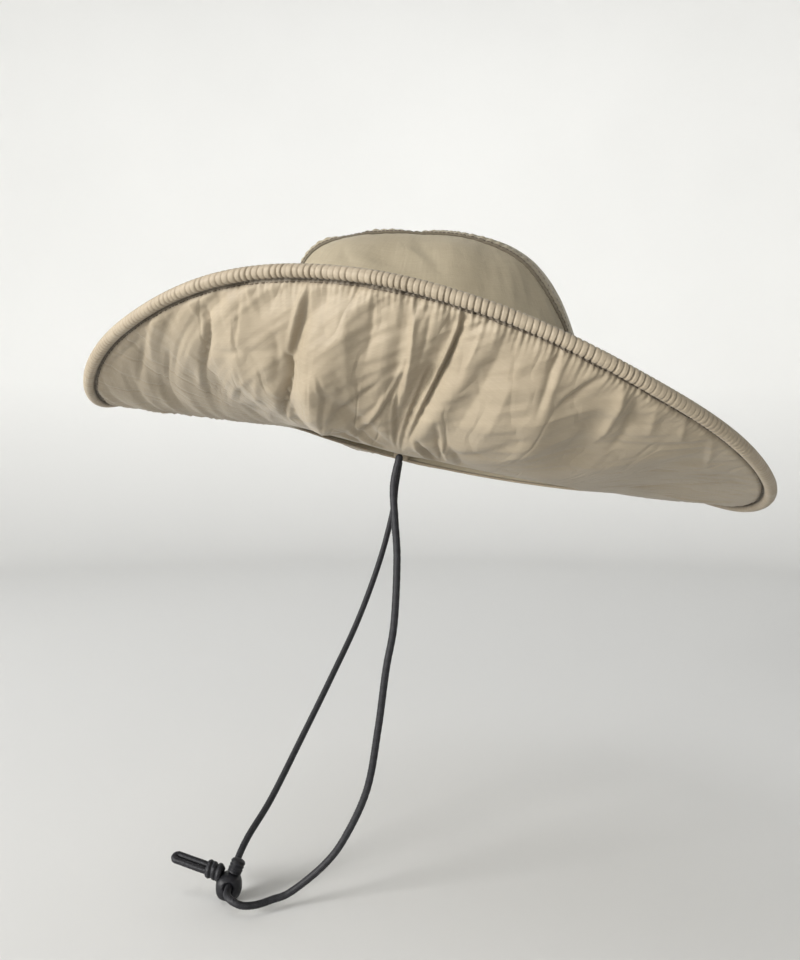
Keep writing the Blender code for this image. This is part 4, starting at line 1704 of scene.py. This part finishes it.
@dataclass(frozen=True)
class Crown:
    """The crown's three panels, its two felled seams and their stitches."""

    shape: CrownShape
    panel_finish: ClothFinish
    seam_finish: ClothFinish
    thread: ThreadFinish
    columns: int = 420
    rows: int = 84
    stations: int = 460
    seam_height: float = 1.5 * MM
    stitch_pitch: float = 2.6 * MM
    stitch_length: float = 2.3 * MM
    stitch_radius: float = 0.34 * MM
    stitch_bow: float = 0.12 * MM
    fan_scale: Triple = (0.7, 0.7, 0.3)
    ring_spread: float = 1.15
    cloth_radius: float = 0.095
    cloth_rise: float = 0.20
    puff: float = 0.22
    puff_pitch: float = 5.2 * MM

    def layer(self, bm: bmesh.types.BMesh, inset: float) -> list[bmesh.types.BMVert]:
        """Adds one face of the crown's cloth.

        Args:
            bm: mesh that it is added to.
            inset: how far it lies inside the crown's outer face.

        Returns:
            The points along its lower edge.
        """
        shape = self.shape
        grid_layer = bm.verts.layers.float_vector[GRID_NAME]
        fan_layer = bm.verts.layers.float_vector[FAN_NAME]
        angle = np.linspace(0, TURN, self.columns, endpoint=False)
        turn = math.pi / 2 * (np.arange(self.rows) / self.rows) ** self.ring_spread
        power = shape.squareness(angle)
        rings = []
        for row, height in enumerate(turn):
            inward = np.cos(height) ** (2 / power)
            points = shape.soft(shape.raised(angle, inward, inset))
            ring = [bm.verts.new(point) for point in points.tolist()]
            run = row / self.rows * self.cloth_rise
            for vertex, bearing in zip(ring, angle.tolist()):
                vertex[grid_layer] = (bearing * self.cloth_radius, run, 0)
                vertex[fan_layer] = vertex.co * Vector(self.fan_scale)
            rings.append(ring)
        top = shape.soft(np.array([[0.0, 0.0, shape.top - inset]]))[0]
        peak = bm.verts.new(top.tolist())
        peak[grid_layer] = (0, self.cloth_rise, 0)
        peak[fan_layer] = peak.co * Vector(self.fan_scale)
        for lower, upper in zip(rings, rings[1:]):
            for i in range(self.columns):
                j = (i + 1) % self.columns
                bm.faces.new((lower[i], lower[j], upper[j], upper[i]))
        for i in range(self.columns):
            bm.faces.new((rings[-1][i], rings[-1][(i + 1) % self.columns], peak))
        return rings[0]

    def shell(self) -> bmesh.types.BMesh:
        """The whole crown as one closed shell.

        Returns:
            The shell, which the caller frees.
        """
        bm = bmesh.new()
        bm.verts.layers.float_vector.new(GRID_NAME)
        bm.verts.layers.float_vector.new(FAN_NAME)
        outer = self.layer(bm, 0.0)
        inner = self.layer(bm, self.shape.wall)
        for i in range(self.columns):
            j = (i + 1) % self.columns
            bm.faces.new((outer[i], inner[i], inner[j], outer[j]))
        bmesh.ops.recalc_face_normals(bm, faces=bm.faces)
        return bm

    @staticmethod
    def cut_away(bm: bmesh.types.BMesh, place: float, direction: int) -> None:
        """Cuts the shell at a plane across the hat and closes its edge.

        Args:
            bm: the shell, changed in place.
            place: where the plane lies across the hat.
            direction: side that is cut off, 1 or -1.
        """
        cut = bmesh.ops.bisect_plane(
            bm,
            geom=bm.verts[:] + bm.edges[:] + bm.faces[:],
            dist=1e-7,
            plane_co=(0, place, 0),
            plane_no=(0, direction, 0),
            clear_outer=True,
        )
        rim = [item for item in cut["geom_cut"] if isinstance(item, bmesh.types.BMEdge)]
        bmesh.ops.edgeloop_fill(bm, edges=rim)

    def build_panels(self) -> None:
        """Builds the side panels and the centre strip."""
        seam = self.shape.strip_width / 2
        slit = self.shape.clearance / 2
        material = self.panel_finish.build()
        whole = self.shell()
        cuts = (
            ("crown_panel_left", "crown_side_left", None, -seam - slit),
            ("crown_strip", "crown_centre", -seam + slit, seam - slit),
            ("crown_panel_right", "crown_side_right", seam + slit, None),
        )
        for name, node, low, high in cuts:
            bm = whole.copy()
            if high is not None:
                self.cut_away(bm, high, 1)
            if low is not None:
                self.cut_away(bm, low, -1)
            mesh = bpy.data.meshes.new(name)
            bm.to_mesh(mesh)
            bm.free()
            mesh.shade_smooth()
            mesh.set_sharp_from_angle(angle=math.radians(50))
            show(name, mesh, material, [node])
        whole.free()

    def build_seam(self, side: Side) -> None:
        """Builds one felled seam and its two rows of stitches.

        Args:
            side: side of the hat.
        """
        shape = self.shape
        middle = -side.value * (shape.strip_width / 2 + shape.seam_shift)
        offsets = np.linspace(-0.5, 0.5, 7)
        rails = np.stack(
            [shape.seam_rail(middle + part * shape.seam_width, self.stations) for part in offsets],
            axis=1,
        )
        along = unit(np.gradient(rails[:, 3], axis=0))
        across = unit(rails[:, -1] - rails[:, 0])
        normal = unit(np.cross(along, across))
        heart = np.array((0, middle, shape.top / 3))
        outward = np.sign(np.sum(normal * (rails[:, 3] - heart), axis=-1))
        normal = normal * outward[:, None]
        run = np.linspace(0, line_length(rails[:, 3]), self.stations)
        uneven = 1.8 * smooth_noise(run, 13 * MM, 61)
        puff = 1 + self.puff * np.cos(TURN * run / self.puff_pitch + uneven)
        wander = 0.2 * MM * smooth_noise(run, 15 * MM, 62 + side.value)
        profile = np.array((0.35, 0.85, 0.72, 1.0, 0.95, 0.62, 0.30))
        lift = self.seam_height * profile[None, :] * np.where(
            np.abs(offsets) < 0.3, puff[:, None], 0.5 + 0.5 * puff[:, None]
        )
        top = rails + normal[:, None] * lift[..., None] + across[:, None] * wander[:, None, None]
        bottom = rails - normal[:, None] * 0.25 * MM
        points = np.concatenate([top, bottom[:, ::-1]], axis=1)
        width = offsets * shape.seam_width
        cloth = np.stack(np.broadcast_arrays(run[:, None], width[None, :]), axis=-1)
        cloth = np.concatenate([cloth, cloth[:, ::-1]], axis=1)
        label = side.name.lower()
        name = f"crown_seam_fold_{label}"
        # Painted shade along the seam's two lower edges, where it meets the panels.
        painted_foot_shade = np.array((0.9, 0.55, 0.0, 0.0, 0.0, 0.45, 0.8))
        shade = np.broadcast_to(np.concatenate([painted_foot_shade, painted_foot_shade[::-1]]), points.shape[:2])
        mesh = grid_mesh(
            name,
            points,
            wrap_columns=True,
            cloth=cloth,
            caps=True,
            shade=shade,
        )
        finish = self.seam_finish.build()
        show(name, facing_out(mesh), finish, [f"crown_seam_{label}"])
        self.build_stitches(label, top, normal, run)

    def build_stitches(
        self, label: str, top: Array, normal: Array, run: Array
    ) -> None:
        """Builds the stitches of one seam.

        Args:
            label: side of the hat, in a word.
            top: points on the seam's raised face.
            normal: the way out of the crown along the seam.
            run: length along the seam.
        """
        starts = np.arange(run[0] + 2 * MM, run[-1] - 4 * MM, self.stitch_pitch)
        rows = []
        outward = unit(np.cross(np.gradient(top, axis=0), np.gradient(top, axis=1)))
        outward = outward * np.sign((outward * normal[:, None]).sum(axis=-1, keepdims=True))
        for column in (1, 5):
            line = top[:, column]
            normal = outward[:, column]
            spots = []
            for offset in STITCH_POINTS:
                place = starts + offset * self.stitch_length
                lift = self.stitch_bow if offset == 0.5 else -self.stitch_bow
                spot = [
                    np.interp(place, run, line[:, axis] + normal[:, axis] * lift)
                    for axis in range(3)
                ]
                spots.append(np.stack(spot, axis=-1))
            rows.append(np.stack(spots, axis=1))
        mesh = stitch_mesh(f"crown_stitches_{label}", np.concatenate(rows), self.stitch_radius)
        show(f"crown_stitches_{label}", mesh, self.thread.build())


@dataclass(frozen=True)
class CordRoute:
    """Route of the chin cord, from the left tab through the lock to the right tab."""

    opening: Opening
    diameter: float = 4.6 * MM
    exit_angle: float = 104.3
    tab_thickness: float = 3.0 * MM
    tab_width: float = 12 * MM
    tab_height: float = 12 * MM
    tuck: float = 1.6 * MM
    clearance: float = 0.3 * MM
    lock_centre: Triple = (-0.1322, -0.0525, -0.2659)
    left: tuple[Triple, ...] = (
        (-0.0283, -0.0812, -0.0135),
        (-0.0276, -0.0818, -0.0336),
        (-0.0263, -0.0818, -0.0579),
        (-0.0281, -0.0808, -0.0962),
        (-0.0329, -0.0790, -0.1240),
        (-0.0377, -0.0755, -0.1601),
        (-0.0446, -0.0705, -0.1985),
        (-0.0583, -0.0655, -0.2298),
        (-0.0717, -0.0630, -0.2482),
        (-0.0917, -0.0640, -0.2640),
        (-0.1030, -0.0668, -0.2674),
        (-0.1115, -0.0712, -0.2682),
        (-0.1197, -0.0742, -0.2672),
        (-0.1264, -0.0728, -0.2650),
        (-0.1305, -0.0668, -0.2645),
    )
    inside: tuple[Triple, ...] = (
        (-0.1312, -0.0600, -0.2645),
        (-0.1312, -0.0520, -0.2618),
        (-0.1296, -0.0430, -0.2560),
    )
    right: tuple[Triple, ...] = (
        (-0.1244, -0.0300, -0.2450),
        (-0.1120, -0.0100, -0.2271),
        (-0.0942, 0.0150, -0.1934),
        (-0.0760, 0.0350, -0.1577),
        (-0.0564, 0.0550, -0.1169),
        (-0.0401, 0.0700, -0.0728),
        (-0.0300, 0.0792, -0.0342),
        (-0.0278, 0.0808, -0.0160),
    )

    def tab_middle(self, side: Side) -> tuple[Array, Array]:
        """Middle of a tab on the level hat and the way out of the opening there.

        Args:
            side: side of the hat.

        Returns:
            The point and a unit vector.
        """
        angle = np.radians(np.array(side.value * self.exit_angle))
        point, outward = self.opening.outline(angle)
        inside = self.tuck + 2 * self.clearance + self.tab_thickness / 2
        return point - outward * inside, outward

    def start(self, side: Side) -> Array:
        """Where a strand begins, just under its tab.

        Args:
            side: side of the hat.

        Returns:
            The point.
        """
        middle, _ = self.tab_middle(side)
        drop = self.clearance + self.tab_thickness / 6
        return self.opening.tipped(middle - np.array((0, 0, drop)))

    def points(self, spacing: float) -> Array:
        """The whole route as evenly spaced points.

        Args:
            spacing: distance between them.

        Returns:
            The points, one a row.
        """
        whole = [self.start(Side.LEFT), *self.left, *self.inside, *self.right]
        whole.append(self.start(Side.RIGHT))
        return smooth_route(whole, spacing)


@dataclass(frozen=True)
class ChinCord:
    """The braided chin cord with its lock, knot, doubled end and tabs."""

    route: CordRoute
    finish: BraidFinish
    plastic: PlasticFinish
    cloth: ClothFinish
    thread: ThreadFinish
    strands: int = 12
    braid_pitch: float = 11.0 * MM
    relief: float = 0.34 * MM
    boxiness: float = 2.6
    hole_depth: float = 2.6 * MM
    hole_radius: float = 3.0 * MM
    hole_edge: float = 0.22 * MM
    lip_height: float = 0.35 * MM
    lip_radius: float = 3.7 * MM
    parting_height: float = 0.10 * MM
    button_axis: Triple = (0.36, 0.16, 0.92)
    button_length: float = 8.5 * MM
    button_radius: float = 4.4 * MM
    rib_height: float = 0.22 * MM
    rib_count: int = 4
    knot_turns: float = 3.2
    knot_radius: float = 3.4 * MM
    knot_swing: float = 4.1 * MM
    knot_strand: float = 2.15 * MM
    end_reach: float = 7.1 * MM
    end_half: float = 2.15 * MM

    def braid_tube(
        self, name: str, line: Array, radius: float, sides: int = 26, squash: float = 1.0
    ) -> bpy.types.Mesh:
        """Mesh of a round braid: two sets of strands that cross over and under.

        Args:
            name: name of the mesh.
            line: points along its middle.
            radius: radius of the cord.
            sides: points round it.
            squash: thickness as a share of width.

        Returns:
            The closed tube.
        """
        run = np.concatenate([[0], np.cumsum(np.linalg.norm(np.diff(line, axis=0), axis=1))])
        turn = np.linspace(0, TURN, sides, endpoint=False)[None, :]
        twist = TURN * run[:, None] / self.braid_pitch
        one = np.cos(self.strands / 2 * (turn + twist))
        other = np.cos(self.strands / 2 * (turn - twist))
        size = radius - self.relief + self.relief * np.maximum(one, other)
        rounding = np.ones(len(line))
        end = radius * 0.9
        for distance in (run, run[-1] - run):
            near = np.clip(distance / end, 0, 1)
            rounding = np.minimum(rounding, np.sqrt(np.clip(1 - (1 - near) ** 2, 0.12, 1)))
        size = size * rounding[:, None]
        points = tube_points(line, sides, size, squash)
        # Painted highlight mask: the crests where one strand lies highest, lightened in the braid's
        # finish.
        painted_crest_highlight = np.clip(np.abs(one - other) - 1.35, 0, 0.5) * 2
        return facing_out(grid_mesh(name, points, wrap_columns=True, caps=True, shade=painted_crest_highlight))

    def build_cord(self) -> None:
        """Builds the cord itself.
        """
        route = self.route
        line = route.points(0.5 * MM)
        mesh = self.braid_tube("chin_cord", line, route.diameter / 2)
        cord = show(
            "chin_cord",
            mesh,
            self.finish.build(),
            ["chin_cord_left", "chin_cord_right"],
        )
        path = route.points(3 * MM)

    def build_lock(self) -> list[bpy.types.Object]:
        """Builds the lock's body, with its cord holes, and its ribbed button.

        Returns:
            The body and the button.
        """
        centre = np.array(self.route.lock_centre)
        _, size = node_box("cord_lock_body")
        material = self.plastic.build()
        rows, columns = 48, 64
        polar = np.linspace(0.02, math.pi - 0.02, rows)[:, None]
        around = np.linspace(0, TURN, columns, endpoint=False)[None, :]
        facing = np.stack(
            np.broadcast_arrays(
                np.sin(polar) * np.cos(around), np.sin(polar) * np.sin(around), np.cos(polar)
            ),
            axis=-1,
        )
        boxy = (np.abs(facing) ** self.boxiness).sum(axis=-1) ** (-1 / self.boxiness)
        depth = np.zeros((rows, columns))
        holes = (np.array(self.route.inside[0]), np.array(self.route.inside[-1]))
        for hole in holes:
            way = unit(hole - centre)
            away = np.linalg.norm(facing - way, axis=-1) * size.mean() / 2
            depth += self.hole_depth / (1 + np.exp((away - self.hole_radius) / self.hole_edge))
            depth -= self.lip_height * np.exp(-(((away - self.lip_radius) / (0.5 * MM)) ** 2))
        parting = np.exp(-((facing[..., 0] * size[0] / 2 / (0.25 * MM)) ** 2))
        radius = boxy[..., None] * size / 2
        depth = depth - self.parting_height * parting
        points = centre + facing * (radius - depth[..., None])
        mesh = facing_out(grid_mesh("lock_shell", points, wrap_columns=True, caps=True))
        shell = show("lock_shell", mesh, material, ["cord_lock_body"])
        return [shell, self.build_button(material)]

    def build_button(self, material: bpy.types.Material) -> bpy.types.Object:
        """Builds the button: a short barrel with finger ribs and a domed top.

        Args:
            material: finish of the lock.

        Returns:
            The button.
        """
        middle, _ = node_box("cord_lock_button")
        axis = unit(np.array(self.button_axis))
        heights = np.linspace(0, 1, 60)
        line = middle + axis * (heights[:, None] - 0.5) * self.button_length
        ribbed = (heights < 0.86) * (heights > 0.12)
        ribs = self.rib_height * np.cos(heights * TURN * self.rib_count) * ribbed
        dome = np.sqrt(np.clip(1 - np.clip((heights - 0.8) / 0.2, 0, 1) ** 2.2, 0.05, 1))
        sizes = (self.button_radius + ribs) * dome
        points = tube_points(line, 40, sizes[:, None])
        mesh = facing_out(grid_mesh("lock_button", points, wrap_columns=True, caps=True))
        return show("lock_button", mesh, material, ["cord_lock_button"])

    def build_knot(self) -> list[bpy.types.Object]:
        """Builds the overhand knot and the doubled end beyond it.

        Returns:
            The knot and the doubled end.
        """
        centre, _ = node_box("cord_knot")
        end_middle, _ = node_box("cord_end_loop")
        material = self.finish.build()
        axis = unit(end_middle - centre - np.array((0, 0, 1.2 * MM)))
        side = unit(np.cross(axis, (0.0, 0.35, 1.0)))
        top = np.cross(side, axis)
        wraps = np.linspace(0, TURN * self.knot_turns, 320)
        swing = self.knot_swing * np.cos(wraps * 0.16 + 0.1) - 1.4 * MM
        line = (
            centre
            + axis * (swing + 0.5 * MM * np.cos(wraps))[:, None]
            + side * (self.knot_radius * np.cos(wraps) + 0.5 * MM * np.cos(wraps * 0.5))[:, None]
            + top * (self.knot_radius * np.sin(wraps))[:, None]
        )
        mesh = self.braid_tube("knot_wraps", evenly(line, 0.4 * MM), self.knot_strand, 18)
        knot = show("knot_wraps", mesh, material, ["cord_knot"])
        tip = centre + axis * (np.linalg.norm(end_middle - centre) + self.end_reach)
        half = self.end_half
        bend = np.linspace(0, math.pi, 24)
        tilted = unit(side * 0.75 + top * 0.66)
        out = [centre + axis * 1.0 * MM - tilted * half * 0.8]
        out += [centre + axis * 6 * MM - tilted * half, tip - axis * 5 * MM - tilted * half]
        arc = [tip - tilted * half * math.cos(b) + axis * half * math.sin(b) for b in bend]
        back = [tip - axis * 5 * MM + tilted * half, centre + axis * 6 * MM + tilted * half]
        back += [centre + axis * 1.0 * MM + tilted * half * 0.8]
        line = smooth_route([*out, *arc, *back], 0.4 * MM)
        mesh = self.braid_tube("cord_end", line, self.route.diameter / 2 - 0.1 * MM, 18)
        end = show("cord_end", mesh, material, ["cord_end_loop"])
        return [knot, end]

    def build_tab(self, side: Side) -> None:
        """Builds one folded tab, with rounded edges and a pinched middle.

        Args:
            side: side of the hat.
        """
        route = self.route
        middle, outward = route.tab_middle(side)
        middle = middle + np.array((0, 0, route.tab_height / 2))
        sideways = np.cross(np.array((0.0, 0.0, 1.0)), outward)
        turn = np.linspace(0, TURN, 40, endpoint=False)
        heights = np.linspace(-1, 1, 26)
        corner = np.abs(np.cos(turn)) ** 0.5 * np.sign(np.cos(turn))
        through = np.abs(np.sin(turn)) ** 0.5 * np.sign(np.sin(turn))
        rings = []
        for height in heights:
            size = (1 - abs(height) ** 8) ** 0.35 if abs(height) < 1 else 0.15
            pinch = 1 - 0.10 * math.exp(-(((height + 0.2) / 0.25) ** 2))
            ring = (
                middle
                + np.array((0, 0, height * route.tab_height / 2))
                + sideways * (corner * route.tab_width / 2 * size)[:, None]
                + outward * (through * route.tab_thickness / 2 * size * pinch)[:, None]
            )
            rings.append(ring)
        rings = np.stack(rings)
        label = side.name.lower()
        run = np.stack(np.broadcast_arrays(turn[None] * 4 * MM, heights[:, None] * 6 * MM), axis=-1)
        name = f"tab_fold_{label}"
        rings = route.opening.tipped(rings)
        mesh = grid_mesh(name, rings, wrap_columns=True, cloth=run, caps=True)
        finish = self.cloth.build()
        show(name, facing_out(mesh), finish, [f"cord_tab_{label}"])

    def build(self) -> None:
        """Builds the cord and everything on it."""
        pieces = self.build_lock() + self.build_knot()
        self.build_cord()
        for side in Side:
            self.build_tab(side)


class SoftLight(NamedTuple):
    """A soft square light: its place and what it faces, side in metres, power in watts."""

    name: str
    place: Triple
    target: Triple
    size: float
    power: float
    colour: Triple


@dataclass(frozen=True)
class Studio:
    """Pale floor and backdrop, soft lights and the camera."""

    floor_height: float = -0.2751
    room_radius: float = 2.9
    room_height: float = 2.6
    camera_place: Triple = (-0.0245, -0.57, -0.0105)
    focal_pixels: float = 822
    frame_height: float = 960
    sensor: float = 36
    paint: Triple = (0.90, 0.90, 0.885)
    corner: float = 0.8
    corner_steps: int = 16
    room_sides: int = 96
    room_colour: Triple = (0.95, 0.97, 1.0)
    room_strength: float = 0.2
    lights: tuple[SoftLight, ...] = (
        SoftLight("window", (-2.2, -1.45, 0.6), (0.0, 0.0, 0.0), 0.8, 84, (1.0, 0.99, 0.97)),
        SoftLight("card", (-1.3, -2.0, 0.3), (0.03, -0.1, 0.05), 0.8, 8, (1.0, 0.99, 0.97)),
        SoftLight("wash", (0.0, 1.0, 1.9), (0.0, 2.9, 0.3), 1.2, 9, (1.0, 1.0, 1.0)),
        SoftLight("skylight", (-0.9, -0.3, 2.3), (-0.2, 0.2, 0.0), 1.2, 9, (1.0, 1.0, 1.0)),
    )

    def build_camera(self) -> None:
        """Sets the camera at the photo's place and angle."""
        data = bpy.data.cameras.new("view")
        data.sensor_width = self.sensor
        data.lens = self.focal_pixels / self.frame_height * self.sensor
        data.clip_start = 0.02
        camera = bpy.data.objects.new("view", data)
        camera.location = self.camera_place
        camera.rotation_euler = (math.pi / 2, 0, 0)
        bpy.context.scene.collection.objects.link(camera)
        bpy.context.scene.camera = camera

    def build_backdrop(self) -> None:
        """Builds the floor and the room round it as one sheet with a soft corner."""
        corner = self.corner
        profile = [(0.02, self.floor_height), (self.room_radius - corner, self.floor_height)]
        for step in range(1, self.corner_steps + 1):
            turn = math.pi / 2 * step / self.corner_steps
            out = self.room_radius - corner + corner * math.sin(turn)
            profile.append((out, self.floor_height + corner - corner * math.cos(turn)))
        profile.append((self.room_radius, self.room_height))
        around = np.linspace(0, TURN, self.room_sides, endpoint=False)[None, :]
        out, up = np.array(profile).T[:, :, None]
        points = np.stack(np.broadcast_arrays(out * np.cos(around), out * np.sin(around), up), -1)
        mesh = grid_mesh("backdrop", points, wrap_columns=True)
        floor = bmesh.new()
        floor.from_mesh(mesh)
        floor.verts.ensure_lookup_table()
        floor.faces.new(floor.verts[: around.size])
        floor.to_mesh(mesh)
        floor.free()
        backdrop = bpy.data.objects.new("backdrop", mesh)
        mesh.materials.append(PaintFinish("backdrop_paint", self.paint).build())
        bpy.context.scene.collection.objects.link(backdrop)

    @staticmethod
    def add_light(light: SoftLight) -> None:
        """Adds one light, out of the camera's sight.

        Args:
            light: the light's row of the table.
        """
        data = bpy.data.lights.new(light.name, "AREA")
        data.size = light.size
        data.energy = light.power
        data.color = light.colour
        lamp = bpy.data.objects.new(light.name, data)
        lamp.visible_camera = False
        lamp.location = light.place
        way = Vector(light.target) - Vector(light.place)
        lamp.rotation_euler = way.to_track_quat("-Z", "Y").to_euler()
        bpy.context.scene.collection.objects.link(lamp)

    def build(self) -> None:
        """Builds the whole studio."""
        self.build_camera()
        self.build_backdrop()
        for light in self.lights:
            self.add_light(light)
        world = bpy.data.worlds.new("room")
        world.use_nodes = True
        background = world.node_tree.nodes["Background"]
        background.inputs["Color"].default_value = (*self.room_colour, 1.0)
        background.inputs["Strength"].default_value = self.room_strength
        bpy.context.scene.world = world
        bpy.context.scene.view_settings.view_transform = "Standard"


def main() -> None:
    """Builds the hat's looks in order."""
    logging.basicConfig(level=logging.INFO, format="%(message)s")
    Studio().build()
    brim_cloth = ClothFinish("brim_weave", srgb(161, 148, 127), srgb(151, 138, 117))
    crown_cloth = ClothFinish(
        "crown_weave", srgb(160, 149, 127), srgb(150, 139, 117), crinkle_depth=1.6 * MM
    )
    casing_cloth = ClothFinish("casing_weave", srgb(163, 150, 130), srgb(153, 140, 120))
    brown_thread = ThreadFinish("brown_thread", srgb(74, 60, 46))
    tan_thread = ThreadFinish("tan_thread", srgb(92, 78, 60))
    black_braid = BraidFinish("black_braid", (0.006, 0.006, 0.007))
    black_plastic = PlasticFinish("black_plastic", (0.007, 0.007, 0.009))
    opening = Opening()
    brim_shape = BrimShape(opening)
    ChinCord(
        CordRoute(opening), black_braid, black_plastic, casing_cloth, brown_thread
    ).build()
    Brim(brim_shape, brim_cloth).build()
    casing = Casing(brim_shape, casing_cloth, tan_thread)
    casing.build()
    casing.build_stitches()
    crown = Crown(CrownShape(opening), crown_cloth, crown_cloth, brown_thread)
    crown.build_panels()
    for side in Side:
        crown.build_seam(side)


if __name__ == "__main__":
    main()
